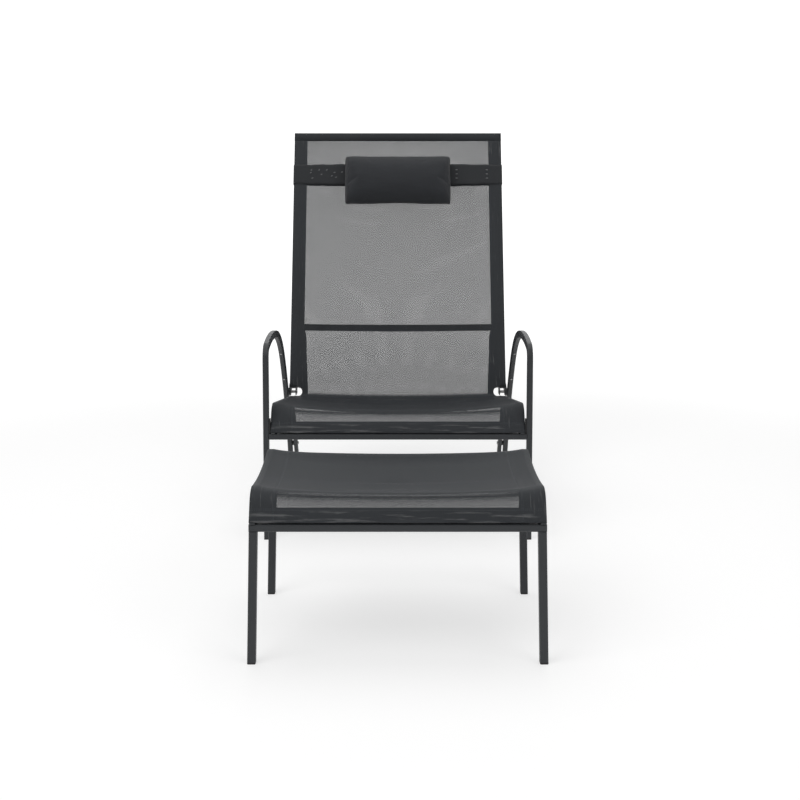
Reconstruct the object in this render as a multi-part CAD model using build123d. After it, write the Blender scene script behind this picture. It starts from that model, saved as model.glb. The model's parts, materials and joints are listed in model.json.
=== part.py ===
"""Reclining garden armchair with its footstool.

Two bent side frames carry a sling seat. The sling back turns on two pins in the rear legs and is
held by two pull pins in index plates. A headrest slides on the back, and a footstool stands in front.
While it is built, Y is zero at the front of the chair's front legs. At the end the whole set is
moved so that its origin is at the bottom centre.
"""

import os
from math import acos, asin, atan2, ceil, cos, degrees, hypot, radians, sin, sqrt

from build123d import *

# Whole set
overall_width = 710.0
footstool_reach = 789.0
overrun = 5.0
soft_gap = 0.3
running_gap = 0.05

# Tubes: width is along X, depth is across the bend
leg_width = 15.0
leg_depth = 20.0
rail_height = 15.0
hoop_width = 12.0
back_tube_width = 20.0
tube_corner = 3.0
tube_wall = 1.5

# Side frame
leg_straight = 483.4
knee_radius = 30.0
arm_rise = 9.0
arm_radius = 700.0
arm_fall = 10.2
shoulder_radius = 390.0
shoulder_fall = 44.2
rear_leg_radius = 1230.0
arm_screw_shares = (0.63, 0.72)
screw_head_radius = 3.2
screw_head_height = 1.8
screw_radius = 1.9
screw_length = 7.0
screw_sink = 0.8

# Glides
glide_height = 4.0
glide_plug = 16.0

# Seat
front_rail_top = 284.4
seat_front_height = 356.0
drop_lean = 25.0
roll_radius = 35.0
seat_slope = 9.5
rear_bend_radius = 40.0
rear_bend_before_pivot = 18.0
bolt_height = 91.0
hoop_tail = 45.0
rear_rail_along = 117.0
sling_gap_to_leg = 4.0
side_spacer_height = 40.0
side_spacer_depth = 14.0

# Fabric
fabric = 0.9
seat_sag = 34.0
seat_sag_shares = ((0.0, 0.02), (0.055, 0.02), (0.13, 0.8), (0.35, 1.0), (0.8, 0.75), (1.0, 0.45))
tube_chamfer = 2.0
sleeve_chamfer = 2.6
hem_height = 30.0
hem_bar_height = 24.0
hem_bar_thickness = 2.0
chord_error = 0.15
run_bands = 5

# Back
pivot_height = 282.5
recline_at_rest = 18.0
recline_range = 36.0
recline_step = 12.0
back_length = 842.0
back_rail_start = 14.0
back_sag = 14.0
back_sag_shares = ((0.0, 0.8), (0.25, 0.95), (0.6, 1.0), (0.9, 0.5), (1.0, 0.03))
crossbar_height = 203.0
crossbar_bow = 18.0
crossbar_slit = 0.6
top_bar_height = 20.0
sling_below_pivot = 12.0
notch_radius = 12.5
notch_inset = 31.3

# Hinge
pin_radius = 4.0
pin_head_radius = 6.5
pin_head_height = 2.5
pin_seat_depth = 9.7
cheek = 3.0
cheek_radius = 11.0
lobe_radius = 8.5
lock_reach = 33.5
lock_angle = 17.0
plate_thickness = 3.0
plate_hub_radius = 12.0
plate_margin = 8.0
bracket_plug = 30.0
knob_radius = 5.5
knob_length = 4.7
lock_travel = 5.0
bracket_screw_height = 30.0

# Bolts and spacers
bolt_radius = 3.0
bolt_head_radius = 6.0
bolt_head_height = 3.6
spacer_radius = 8.0

# Headrest
pillow_length = 340.0
pillow_height = 156.0
pillow_depth = 70.0
pillow_edge = 8.0
pillow_share = 0.81
pillow_end_share = 0.2
pillow_draw_share = 0.05
pillow_slice_shares = (1.0, 0.985, 0.95, 0.9, 0.8, 0.6, 0.3)
cover_thickness = 2.0
strap_height = 66.0
strap_rise = 20.0
strap_thickness = 1.5
strap_corner = 6.0

# Footstool
footstool_width = 594.0
footstool_foot_pitch = 389.0
footstool_leg_width = 17.0
footstool_drain_radius = 2.0
footstool_splay = 6.0
footstool_rail_top = 287.0
footstool_top = 351.5
footstool_roll_radius = 30.0
footstool_dip_angle = 8.0
footstool_sag = 16.0
footstool_sag_shares = (
    (0.0, 0.03), (0.09, 0.03), (0.2, 0.8), (0.5, 1.0), (0.8, 0.8), (0.91, 0.03), (1.0, 0.03)
)

# Worked out from the sizes above
side_x = (overall_width - leg_width) / 2
leg_inner = overall_width / 2 - leg_width
fabric_outer = leg_inner - sling_gap_to_leg
wrap = soft_gap + fabric
tube_outer = fabric_outer - wrap
hoop_x = tube_outer - hoop_width / 2
back_rail_x = tube_outer - back_tube_width / 2
hoop_inner = tube_outer - hoop_width
back_inner = tube_outer - back_tube_width
hoop_wrap = leg_depth / 2 + wrap
back_wrap = rail_height / 2 + wrap


def bent_path(start, heading, steps):
    """Lines and tangent bends in the YZ plane. A step is (length,) or (radius, turn).

    A turn below zero goes clockwise.
    """
    edges = []
    at = Vector(*start)
    along = Vector(cos(radians(heading)), sin(radians(heading)))
    for step in steps:
        if len(step) == 1:
            edge = Line(at, at + along * step[0])
        else:
            edge = JernArc(at, along, step[0], step[1])
        edges.append(edge)
        at, along = edge @ 1, edge % 1
    return edges


def in_side_plane(edges):
    """The flat path as one wire, standing in the plane of the side frame."""
    return Plane.YZ * Wire([edge for edge in edges])


def tube_section(width, depth, wall=tube_wall):
    """A rounded rectangle with its wall, or filled where the wall is zero."""
    outer = RectangleRounded(width, depth, tube_corner)
    if not wall:
        return outer
    return outer - Rectangle(width - 2 * wall, depth - 2 * wall)


def plug_section(width, depth):
    """What fits inside a tube with a small gap all round."""
    inside = 2 * (tube_wall + soft_gap)
    return RectangleRounded(width - inside, depth - inside, tube_corner - tube_wall)


def swept_tube(path, section):
    """The section carried along a wire in the side plane, with the section's width along X."""
    start = Plane(origin=path @ 0, x_dir=(1, 0, 0), z_dir=path % 0)
    return sweep(start * section, path=path)


def bar_along_x(section, y, z, half_length, tilt=0):
    """A straight bar across the object. The section's width is along Y before it is tilted."""
    across = (0, cos(radians(tilt)), sin(radians(tilt)))
    plane = Plane(origin=(-half_length, y, z), x_dir=across, z_dir=(1, 0, 0))
    return extrude(plane * section, amount=2 * half_length)


def cylinder_x(radius, x_from, x_to, y, z):
    """A round bar along X between two places."""
    plane = Plane(origin=(x_from, y, z), z_dir=(1, 0, 0))
    return extrude(plane * Circle(radius), amount=x_to - x_from)


def slab(z_from, z_to):
    """A wide flat block between two heights, used to cut."""
    size = overall_width + back_length + footstool_reach
    return Pos(0, 0, (z_from + z_to) / 2) * Box(2 * size, 2 * size, z_to - z_from)


def both_sides(make):
    """The left piece, at negative X, and the right piece that mirrors it."""
    right = make()
    return mirror(right, about=Plane.YZ), right


def pair(make):
    """Both sides as one group of separate solids."""
    left, right = both_sides(make)
    return Compound(children=list(left.solids()) + list(right.solids()))


def share_at(shares, at):
    """The value of a table of shares at one place, straight between its rows."""
    for (a, low), (b, high) in zip(shares, shares[1:]):
        if at <= b:
            return low + (high - low) * (at - a) / (b - a)
    return shares[-1][1]


# Side frame


def side_frame_edges():
    """Front leg, knee, arm, shoulder and rear leg, down past the floor."""
    steps = [
        (leg_straight,),
        (knee_radius, -(90 - arm_rise)),
        (arm_radius, -(arm_rise + arm_fall)),
        (shoulder_radius, -(shoulder_fall - arm_fall)),
    ]
    upper = bent_path((leg_depth / 2, 0), 90, steps)
    end = upper[-1] @ 1
    centre_z = end.Y - rear_leg_radius * cos(radians(shoulder_fall))
    slope_at_floor = degrees(acos((-leg_depth - centre_z) / rear_leg_radius))
    lower = bent_path(end, -shoulder_fall, [(rear_leg_radius, -(slope_at_floor - shoulder_fall))])
    return upper + lower


def rear_leg_y(height):
    """How far back the middle of the rear leg is at a height."""
    centre = side_edges[-1].arc_center
    return centre.X + sqrt(rear_leg_radius**2 - (height - centre.Y) ** 2)


side_edges = side_frame_edges()
side_path = in_side_plane(side_edges)
pivot_y = rear_leg_y(pivot_height)
bolt_y = rear_leg_y(bolt_height)


def arm_screw_plane(share):
    """Where a screw sits on the hollow side of the arm, pointing away from the tube."""
    at, along = side_path @ share, side_path % share
    inward = Vector(0, along.Z, -along.Y)
    return Plane(origin=at + inward * (leg_depth / 2) + Vector(side_x, 0, 0), z_dir=inward)


def side_frame():
    tube = swept_tube(side_path, tube_section(leg_width, leg_depth)) & slab(glide_height, overall_width)
    tube = Pos(side_x, 0, 0) * tube
    wall_inside = leg_inner + tube_wall + overrun / 2
    tube -= cylinder_x(pin_radius + running_gap, leg_inner - overrun, wall_inside, pivot_y, pivot_height)
    tube -= cylinder_x(bolt_radius + running_gap, leg_inner - overrun, wall_inside, bolt_y, bolt_height)
    for share in arm_screw_shares:
        hole = Cylinder(screw_radius + running_gap, 2 * (tube_wall + running_gap))
        tube -= arm_screw_plane(share) * hole
    return tube


def arm_screws():
    """Two domed screws on the hollow side of one arm."""
    shank = Pos(0, 0, -screw_length / 2) * Cylinder(screw_radius, screw_length)
    dome = Pos(0, 0, screw_head_height / 2 + running_gap) * Cylinder(screw_head_radius, screw_head_height)
    dome = chamfer(dome.edges().sort_by(Axis.Z)[-1], screw_head_height / 2)
    screw = shank + dome
    return Compound(children=[arm_screw_plane(share) * screw for share in arm_screw_shares])


def glide_in(path, x):
    """A foot with its plug in the open end of a tube that follows a path."""
    foot = swept_tube(path, tube_section(leg_width, leg_depth, 0)) & slab(0, glide_height)
    stem = swept_tube(path, plug_section(leg_width, leg_depth))
    stem &= slab(glide_height - tube_wall, glide_height + glide_plug)
    return Pos(x, 0, 0) * (foot + stem)


def front_glide():
    return glide_in(in_side_plane(side_edges[:1]), side_x)


def rear_glide():
    return glide_in(in_side_plane(side_edges[-1:]), side_x)


# Seat


def hoop_edges():
    """Front drop, roll, seat, bend below the pivot and tail down to the rear leg."""
    lean = radians(drop_lean)
    crest = seat_front_height - hoop_wrap
    drop = (crest - front_rail_top - roll_radius * (1 - sin(lean))) / cos(lean)
    front_steps = [(drop,), (roll_radius, -(90 - drop_lean + seat_slope))]
    front = bent_path((leg_depth / 2, front_rail_top), 90 - drop_lean, front_steps)
    end = front[-1] @ 1
    run = (pivot_y - rear_bend_before_pivot - end.X) / cos(radians(seat_slope))
    seat = bent_path(end, -seat_slope, [(run,)])
    bend_at = seat[-1] @ 1
    slope = radians(seat_slope)
    centre = bend_at + Vector(-sin(slope), -cos(slope)) * rear_bend_radius
    to_bolt = Vector(bolt_y, bolt_height) - centre
    reach = hypot(to_bolt.X, to_bolt.Y)
    fall = degrees(atan2(-to_bolt.Y, to_bolt.X) + asin(rear_bend_radius / reach))
    tail = sqrt(reach**2 - rear_bend_radius**2) + hoop_tail
    rear = bent_path(bend_at, -seat_slope, [(rear_bend_radius, -(fall - seat_slope)), (tail,)])
    return front + seat + rear


hoop = hoop_edges()
hoop_path = in_side_plane(hoop)
tail_fall = degrees(atan2(-(hoop[-1] % 0).Y, (hoop[-1] % 0).X))
rear_rail_at = hoop[-1] @ 0 + (hoop[-1] % 0) * rear_rail_along


def seat_rail():
    tube = swept_tube(hoop_path, tube_section(hoop_width, leg_depth))
    foot = bent_path((leg_depth / 2, front_rail_top), 270 - drop_lean, [(leg_depth,)])
    tube += swept_tube(in_side_plane(foot), tube_section(hoop_width, leg_depth))
    tube -= slab(front_rail_top - leg_depth * 2, front_rail_top) & front_half()
    tube = Pos(hoop_x, 0, 0) * tube
    return tube - cylinder_x(
        bolt_radius + running_gap, hoop_inner - overrun, tube_outer + overrun, bolt_y, bolt_height
    )


def front_half():
    """A block over the front part of the seat, used to keep cuts off the tail."""
    return Pos(0, 0, front_rail_top) * Box(2 * overall_width, 4 * leg_depth, 4 * seat_front_height)


def rail_plug():
    """The cap that closes the open lower end of a seat rail."""
    end, along = hoop[-1] @ 1, hoop[-1] % 1
    path = in_side_plane([Line(end, end + along * glide_height)])
    cap = swept_tube(path, tube_section(hoop_width, leg_depth, 0))
    inner = in_side_plane([Line(end - along * glide_plug, end + along * tube_wall)])
    return Pos(hoop_x, 0, 0) * (cap + swept_tube(inner, plug_section(hoop_width, leg_depth)))


def front_rail():
    section = tube_section(leg_depth, rail_height)
    return bar_along_x(section, leg_depth / 2, front_rail_top - rail_height / 2, leg_inner)


def rear_rail():
    section = tube_section(leg_depth, rail_height)
    return bar_along_x(section, rear_rail_at.X, rear_rail_at.Y, hoop_inner, -tail_fall)


def side_spacer():
    """The block between a front leg and the seat beside it."""
    thick = sling_gap_to_leg - soft_gap
    block = Box(thick, side_spacer_depth, side_spacer_height)
    block = fillet(block.edges().filter_by(Axis.X), tube_corner)
    return Pos(leg_inner - thick / 2, leg_depth / 2, front_rail_top + side_spacer_height / 2) * block


def stay_bolt():
    """Round headed bolt through the tail of the seat rail into the rear leg."""
    head = cylinder_x(bolt_head_radius, hoop_inner - bolt_head_height, hoop_inner, bolt_y, bolt_height)
    head = chamfer(head.edges().sort_by(Axis.X)[0], bolt_head_height / 2)
    return head + cylinder_x(bolt_radius, hoop_inner - tube_wall, leg_inner + tube_wall, bolt_y, bolt_height)


def ring_x(outer, inner, x_from, x_to, y, z):
    return cylinder_x(outer, x_from, x_to, y, z) - cylinder_x(inner, x_from - overrun, x_to + overrun, y, z)


def stay_spacer():
    return ring_x(spacer_radius, bolt_radius + running_gap, tube_outer, leg_inner, bolt_y, bolt_height)


# Slings


def stations(edges, runs):
    """Places along a path where the sling's section is drawn, with the share of the length at each."""
    total = sum(edge.length for edge in edges)
    found, done = [], 0
    for edge in edges:
        if edge.geom_type == GeomType.CIRCLE:
            step_angle = 2 * acos(1 - chord_error / edge.radius)
            steps = ceil(edge.length / edge.radius / step_angle)
        else:
            steps = runs if edge.length > 2 * roll_radius else ceil(runs / 2)
        first = 0 if not found else 1
        for i in range(first, steps + 1):
            t = i / steps
            found.append((edge @ t, edge % t, (done + edge.length * t) / total))
        done += edge.length
    return found


def sling_outline(x_out, x_in, out, sag):
    """Both sleeves and the sagging cloth between them. Local Y points into the object."""
    cut = sleeve_chamfer
    top, low = -out, -out + fabric
    right = [
        (x_out - cut, top), (x_out, top + cut), (x_out, out - cut), (x_out - cut, out),
        (x_in + cut, out), (x_in, out - cut), (x_in, low),
    ]
    left = [(-x, y) for x, y in reversed(right)]
    upper = ThreePointArc((-x_in, top), (0, top + sag), (x_in, top))
    lower = ThreePointArc((x_in, low), (0, low + sag), (-x_in, low))
    outline = [upper, Line((x_in, top), right[0])]
    outline += [Line(a, b) for a, b in zip(right, right[1:])]
    outline += [lower]
    outline += [Line(a, b) for a, b in zip(left, left[1:])]
    outline += [Line(left[-1], (-x_in, top))]
    return make_face(outline)


def tunnel_outline(x, width, depth):
    """The room for the tube in a sleeve."""
    room = Rectangle(width + 2 * soft_gap, depth + 2 * soft_gap)
    return Pos(x, 0) * chamfer(room.vertices(), tube_chamfer)


def sling(edges, runs, tube_x, width, depth, sag, sag_shares):
    """Cloth stretched between two tubes that both follow a path, with a sleeve round each."""
    out = depth / 2 + wrap
    x_out, x_in = tube_x + width / 2 + wrap, tube_x - width / 2 - wrap
    outlines, tunnels = [], []
    for at, along, share in stations(edges, runs):
        plane = Plane(origin=(0, at.X, at.Y), x_dir=(1, 0, 0), z_dir=(0, along.X, along.Y))
        outlines.append(plane * sling_outline(x_out, x_in, out, sag * share_at(sag_shares, share)))
        tunnels.append(plane)
    cloth = loft(outlines, ruled=True)
    for x in (-tube_x, tube_x):
        cloth -= loft([plane * tunnel_outline(x, width, depth) for plane in tunnels], ruled=True)
    return cloth


def hem_pocket(at, along, x_in, out):
    """The doubled band at a lower edge and the room in it for the bar."""
    plane = Plane(origin=(0, at.X, at.Y), x_dir=(1, 0, 0), z_dir=(0, along.X, along.Y))
    room = hem_bar_thickness + 2 * soft_gap
    thick = room + 2 * fabric
    middle = -out + thick / 2
    band = Pos(0, middle, hem_height / 2) * Box(2 * x_in, thick, hem_height)
    pocket = Pos(0, middle, hem_height / 2) * Box(2 * x_in + overrun, room, hem_bar_height + 2 * soft_gap)
    bar = Pos(0, middle, hem_height / 2) * Box(2 * (x_in - soft_gap), hem_bar_thickness, hem_bar_height)
    return plane * band, plane * pocket, plane * bar


def seat_sling_edges():
    """The part of the seat rails that the sling covers, up to where the back's cloth begins."""
    run = hoop[2]
    end = pivot_y - sling_end_before_pivot
    share = (end - (run @ 0).X) / ((run @ 1).X - (run @ 0).X)
    return [hoop[0], hoop[1], Line(run @ 0, run @ share)]


sling_end_before_pivot = sling_below_pivot + 2 * tube_corner
hoop_sleeve_in = hoop_inner - wrap
back_sleeve_in = back_inner - wrap
notch_x = fabric_outer - notch_inset


def seat_sling():
    edges = seat_sling_edges()
    cloth = sling(edges, run_bands, hoop_x, hoop_width, leg_depth, seat_sag, seat_sag_shares)
    band, pocket, _ = hem_pocket(edges[0] @ 0, edges[0] % 0, hoop_sleeve_in, hoop_wrap)
    cloth = cloth + band - pocket
    cloth -= slab(front_rail_top - leg_depth, front_rail_top + soft_gap) & front_half()
    corner = Box(2 * notch_inset, 2 * notch_radius, 4 * hoop_wrap)
    for side in (-1, 1):
        at = (side * (notch_x + notch_inset), pivot_y - notch_radius, pivot_height - hoop_wrap)
        cloth -= Pos(*at) * corner
    return cloth


def seat_hem_bar():
    bar = hem_pocket(hoop[0] @ 0, hoop[0] % 0, hoop_sleeve_in, hoop_wrap)[2]
    return bar - (slab(front_rail_top - leg_depth, front_rail_top + soft_gap) & front_half())


# Back. Its own plane has X pointing to the rear, across the back, and Y pointing up along it.

lean_now = radians(recline_at_rest)
up_back = Vector(0, sin(lean_now), cos(lean_now))
off_back = Vector(0, cos(lean_now), -sin(lean_now))
pivot = Vector(0, pivot_y, pivot_height)
top_bar_low = back_length - wrap - top_bar_height
lock_n = lock_reach * cos(radians(lock_angle - recline_at_rest))
lock_u = lock_reach * sin(radians(lock_angle + recline_at_rest))


def back_side_plane(x=0.0):
    """Faces +X at the pivot. Its X is across the back and its Y is along it."""
    return Plane(origin=pivot + Vector(x, 0, 0), x_dir=off_back, z_dir=(1, 0, 0))


def back_cross_plane(u=0.0, n=0.0, x=0.0):
    """Faces up the back. Its X is the set's X and its Y points to the rear, across the back."""
    return Plane(origin=pivot + up_back * u + off_back * n + Vector(x, 0, 0), x_dir=(1, 0, 0), z_dir=up_back)


def back_box(x_from, x_to, n_from, n_to, u_from, u_to):
    """A block given in the back's own directions."""
    middle = ((x_from + x_to) / 2, (n_from + n_to) / 2, (u_from + u_to) / 2)
    return back_cross_plane() * Pos(*middle) * Box(x_to - x_from, n_to - n_from, u_to - u_from)


def lock_place(turned=0.0):
    """Y and Z of the lock pin, with the back turned down by some degrees."""
    angle = radians(lock_angle - turned)
    return pivot_y + lock_reach * cos(angle), pivot_height + lock_reach * sin(angle)


def in_back_plane(y, z):
    """A place in Y and Z as seen in the back's own side plane."""
    offset = Vector(0, y, z) - pivot
    return offset.dot(off_back), offset.dot(up_back)


def back_rail():
    section = back_cross_plane(back_rail_start, 0, back_rail_x) * tube_section(back_tube_width, rail_height)
    rail = extrude(section, amount=top_bar_low - back_rail_start)
    rail -= bracket_screw_bar(screw_head_radius + running_gap, screw_sink + running_gap)
    return rail - bracket_screw_bore(screw_radius + running_gap)


def bracket_screw_bore(radius):
    """A round bar through the inner wall of the rail, where the bracket's plug is held."""
    at = pivot + up_back * bracket_screw_height
    return cylinder_x(radius, back_inner - overrun, back_rail_x, at.Y, at.Z)


def back_top_bar():
    plane = back_cross_plane(top_bar_low + top_bar_height / 2)
    section = Plane(origin=plane.origin - Vector(tube_outer, 0, 0), x_dir=off_back, z_dir=(1, 0, 0))
    return extrude(section * tube_section(rail_height, top_bar_height), amount=2 * tube_outer)


def back_crossbar():
    """A tube between the rails that bows to the rear, clear of the cloth."""
    plane = back_cross_plane(crossbar_height)
    half = back_inner
    radius = (half**2 + crossbar_bow**2) / (2 * crossbar_bow)
    past = half + overrun
    drop_past = sqrt(radius**2 - past**2) - (radius - crossbar_bow)
    bow = plane * ThreePointArc((-past, drop_past), (0, crossbar_bow), (past, drop_past))
    start = Plane(origin=bow @ 0, x_dir=up_back, z_dir=bow % 0)
    tube = sweep(start * tube_section(back_tube_width, rail_height), path=bow)
    deep = 2 * (crossbar_bow + rail_height)
    return tube & back_box(-half, half, -deep, deep, crossbar_height - deep, crossbar_height + deep)


def back_sling():
    at_low = -sling_below_pivot
    low, high = pivot + up_back * at_low, pivot + up_back * top_bar_low
    edges = [Line((low.Y, low.Z), (high.Y, high.Z))]
    cloth = sling(edges, run_bands + 2, back_rail_x, back_tube_width, rail_height, back_sag, back_sag_shares)
    cloth += top_sleeve()
    for side in (-1, 1):
        x_near, x_far = sorted((side * notch_x, side * (fabric_outer + overrun)))
        deep = 2 * back_wrap
        cloth -= back_box(x_near, x_far, -deep, deep, at_low - overrun, back_rail_start + soft_gap)
        hole = Plane(origin=pivot + Vector(side * notch_x, 0, 0), z_dir=off_back)
        cloth -= extrude(hole * Circle(notch_radius), amount=deep, both=True)
    half_up = back_tube_width / 2 + soft_gap
    half_n = rail_height / 2 + crossbar_slit
    up = (crossbar_height - half_up, crossbar_height + half_up)
    cloth -= back_box(-back_inner, back_inner, -half_n, half_n, *up) - back_box(
        -back_sleeve_in + crossbar_slit, back_sleeve_in - crossbar_slit, -half_n, half_n, *up
    )
    return cloth


def top_sleeve():
    """The sleeve round the top bar, open below where the rails come in."""
    low, high = top_bar_low - wrap, top_bar_low + top_bar_height + wrap
    block = back_box(-fabric_outer, fabric_outer, -back_wrap, back_wrap, low, high)
    long_edges = block.edges().filter_by(Axis.X)
    block = chamfer(long_edges.sort_by(Axis.Z)[-2:], sleeve_chamfer)
    room = rail_height / 2 + soft_gap
    side = tube_outer + soft_gap
    block -= back_box(-side, side, -room, room, top_bar_low - soft_gap, high - fabric)
    for x in (-back_rail_x, back_rail_x):
        half = back_tube_width / 2 + soft_gap
        block -= back_box(x - half, x + half, -room, room, low - overrun, top_bar_low)
    return block


# Hinge and lock


def hinge_bracket():
    """Two cheeks on a plug in the rail, with a lobe to the rear for the lock pin."""
    lock = in_back_plane(*lock_place())
    base_low = back_rail_start - cheek
    hub = Circle(cheek_radius)
    lobe = Pos(*lock) * Circle(lobe_radius)
    root = Pos(0, back_rail_start - cheek / 2) * Rectangle(rail_height, cheek)
    profile = make_hull((hub.edges() + lobe.edges() + root.edges()))
    clear = back_wrap + soft_gap
    above = Pos(clear - lock_reach, back_rail_start + lock_reach) * Rectangle(2 * lock_reach, 2 * lock_reach)
    profile -= above
    cheeks = []
    for x in (back_inner, tube_outer - cheek):
        cheeks.append(extrude(back_side_plane(x) * profile, amount=cheek))
    half = rail_height / 2
    base = back_box(back_inner, tube_outer, -half, half, base_low, back_rail_start)
    plug_base = back_cross_plane(back_rail_start - cheek, 0, back_rail_x)
    plug = extrude(plug_base * plug_section(back_tube_width, rail_height), amount=cheek + bracket_plug)
    bracket = cheeks[0] + cheeks[1] + base + plug
    for y, z in ((pivot_y, pivot_height), lock_place()):
        bracket -= cylinder_x(pin_radius + running_gap, back_inner - overrun, tube_outer + overrun, y, z)
    return bracket - bracket_screw_bore(screw_radius + running_gap)


def bracket_screw_bar(radius, length):
    """A round bar that starts at the inner face of the rail."""
    at = pivot + up_back * bracket_screw_height
    return cylinder_x(radius, back_inner, back_inner + length, at.Y, at.Z)


def bracket_screw():
    """Screw with a flat head sunk in the inner wall of the rail, into the bracket's plug."""
    return bracket_screw_bar(screw_head_radius, screw_sink) + bracket_screw_bar(screw_radius, screw_length)


def index_plate():
    """Sector on the inside of the rear leg, with a hole for each place where the back stops."""
    hub = Circle(plate_hub_radius)
    outer = lock_reach + plate_margin
    spread = recline_step
    first, last = lock_angle + spread, lock_angle - recline_range - spread
    rim = CenterArc((0, 0), outer, last, first - last)
    sector = make_face([rim, Line((0, 0), rim @ 0), Line((0, 0), rim @ 1)])
    sector = fillet(sector.vertices().sort_by_distance((0, 0))[1:], tube_corner)
    profile = hub + sector - Circle(pin_radius + running_gap)
    for i in range(round(recline_range / recline_step) + 1):
        angle = radians(lock_angle - i * recline_step)
        at = (lock_reach * cos(angle), lock_reach * sin(angle))
        profile -= Pos(*at) * Circle(pin_radius + 2 * running_gap)
    at = (leg_inner - plate_thickness, pivot_y, pivot_height)
    plane = Plane(origin=at, x_dir=(0, 1, 0), z_dir=(1, 0, 0))
    return extrude(plane * profile, amount=plate_thickness)


def pivot_pin():
    """Headed pin from the back rail's cheeks into the rear leg."""
    inner = back_inner - soft_gap
    head = cylinder_x(pin_head_radius, inner - pin_head_height, inner, pivot_y, pivot_height)
    head = chamfer(head.edges().sort_by(Axis.X)[0], pin_head_height / 3)
    return head + cylinder_x(pin_radius, inner, leg_inner + pin_seat_depth, pivot_y, pivot_height)


def pivot_spacer():
    end = leg_inner - plate_thickness - running_gap
    return ring_x(spacer_radius, pin_radius + running_gap, tube_outer, end, pivot_y, pivot_height)


def lock_pin():
    """Pull pin with a grooved knob, drawn back just clear of the index plate."""
    y, z = lock_place()
    tip = leg_inner - plate_thickness - soft_gap
    knob_end = back_inner - lock_travel - soft_gap
    pin = cylinder_x(pin_radius, knob_end, tip, y, z)
    pin = chamfer(pin.edges().sort_by(Axis.X)[-1], tube_wall / 2)
    knob = cylinder_x(knob_radius, knob_end - knob_length, knob_end, y, z)
    knob = chamfer(knob.edges().filter_by(GeomType.CIRCLE), tube_wall / 2)
    return pin + knob


# Headrest


def pillow_outline(depth, height, edge):
    """One slice of the pillow: flat behind, with a thin edge and a crowned front."""
    half = height / 2
    front = ThreePointArc((-half, edge), (0, depth), (half, edge))
    corners = [front @ 1, (half, 0), (-half, 0), front @ 0]
    return make_face([front] + [Line(a, b) for a, b in zip(corners, corners[1:])])


def pillow(inset):
    """Slices along X that thin out and draw in towards both ends."""
    slices = []
    at = back_cross_plane(pillow_share * back_length, pillow_back - inset).origin
    for x_share in [-x for x in pillow_slice_shares] + [x for x in reversed(pillow_slice_shares)]:
        full = sqrt(1 - x_share**8)
        depth = pillow_depth * (pillow_end_share + (1 - pillow_end_share) * full) - 2 * inset
        height = pillow_height * (1 - pillow_draw_share * (1 - full)) - 2 * inset
        x = x_share * (pillow_length / 2 - inset)
        plane = Plane(origin=at + Vector(x, 0, 0), x_dir=up_back, z_dir=(1, 0, 0))
        slices.append(plane * pillow_outline(depth, height, pillow_edge - inset))
    return loft(slices, ruled=True)


strap_room = back_wrap + soft_gap
pillow_back = -(strap_room + strap_thickness + soft_gap)


def headrest_core():
    return pillow(cover_thickness + soft_gap)


def headrest_cover():
    return pillow(0) - pillow(cover_thickness)


def headrest_strap():
    """A flat band right round the back, behind the pillow."""
    x = fabric_outer + soft_gap
    inner = RectangleRounded(2 * x, 2 * strap_room, strap_corner / 4)
    outer = RectangleRounded(2 * (x + strap_thickness), 2 * (strap_room + strap_thickness), strap_corner / 2)
    plane = back_cross_plane(pillow_share * back_length + strap_rise - strap_height / 2)
    return extrude(plane * (outer - inner), amount=strap_height)


# Footstool

fs_front = -footstool_reach + leg_depth / 2
fs_rear = fs_front + footstool_foot_pitch
fs_tube_outer = footstool_width / 2 - wrap
fs_hoop_x = fs_tube_outer - hoop_width / 2
fs_sleeve_in = fs_tube_outer - hoop_width - wrap
fs_rail_low = footstool_rail_top - rail_height


def footstool_edges():
    """Front drop, roll, shallow dip, roll and rear drop of one side tube."""
    lean, dip = radians(drop_lean), radians(footstool_dip_angle)
    roll = footstool_roll_radius
    crest = footstool_top - hoop_wrap
    drop = (crest - footstool_rail_top - roll * (1 - sin(lean))) / cos(lean)
    shoulder = drop * sin(lean) + roll * (cos(lean) + sin(dip))
    dip_radius = (footstool_foot_pitch - 2 * shoulder) / (2 * sin(dip))
    turn = 90 - drop_lean + footstool_dip_angle
    steps = [(drop,), (roll, -turn), (dip_radius, 2 * footstool_dip_angle), (roll, -turn), (drop,)]
    return bent_path((fs_front, footstool_rail_top), 90 - drop_lean, steps)


fs_edges = footstool_edges()


def footstool_side_rail():
    ends = [
        bent_path((fs_front, footstool_rail_top), 270 - drop_lean, [(leg_depth,)]),
        bent_path((fs_rear, footstool_rail_top), 270 + drop_lean, [(leg_depth,)]),
    ]
    tube = swept_tube(in_side_plane(fs_edges), tube_section(hoop_width, leg_depth))
    for end in ends:
        tube += swept_tube(in_side_plane(end), tube_section(hoop_width, leg_depth))
    return Pos(fs_hoop_x, 0, 0) * (tube - slab(footstool_rail_top - 2 * leg_depth, footstool_rail_top))


def footstool_leg(y):
    """A leg that leans out a little from the rail down to the floor."""
    top = Vector((footstool_width - footstool_leg_width) / 2, y, fs_rail_low)
    foot = Vector(top.X + footstool_splay, y, 0)
    down = (foot - top).normalized()
    plane = Plane(origin=top - down * leg_depth, x_dir=(0, 1, 0), z_dir=down)
    long = (foot - top).length + 2 * leg_depth
    tube = extrude(plane * tube_section(leg_depth, footstool_leg_width), amount=long)
    return tube & slab(glide_height, fs_rail_low), plane, long


def footstool_glide(y):
    _, plane, long = footstool_leg(y)
    foot = extrude(plane * tube_section(leg_depth, footstool_leg_width, 0), amount=long)
    foot &= slab(0, glide_height)
    stem = extrude(plane * plug_section(leg_depth, footstool_leg_width), amount=long)
    return foot + (stem & slab(glide_height - tube_wall, glide_height + glide_plug))


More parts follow.
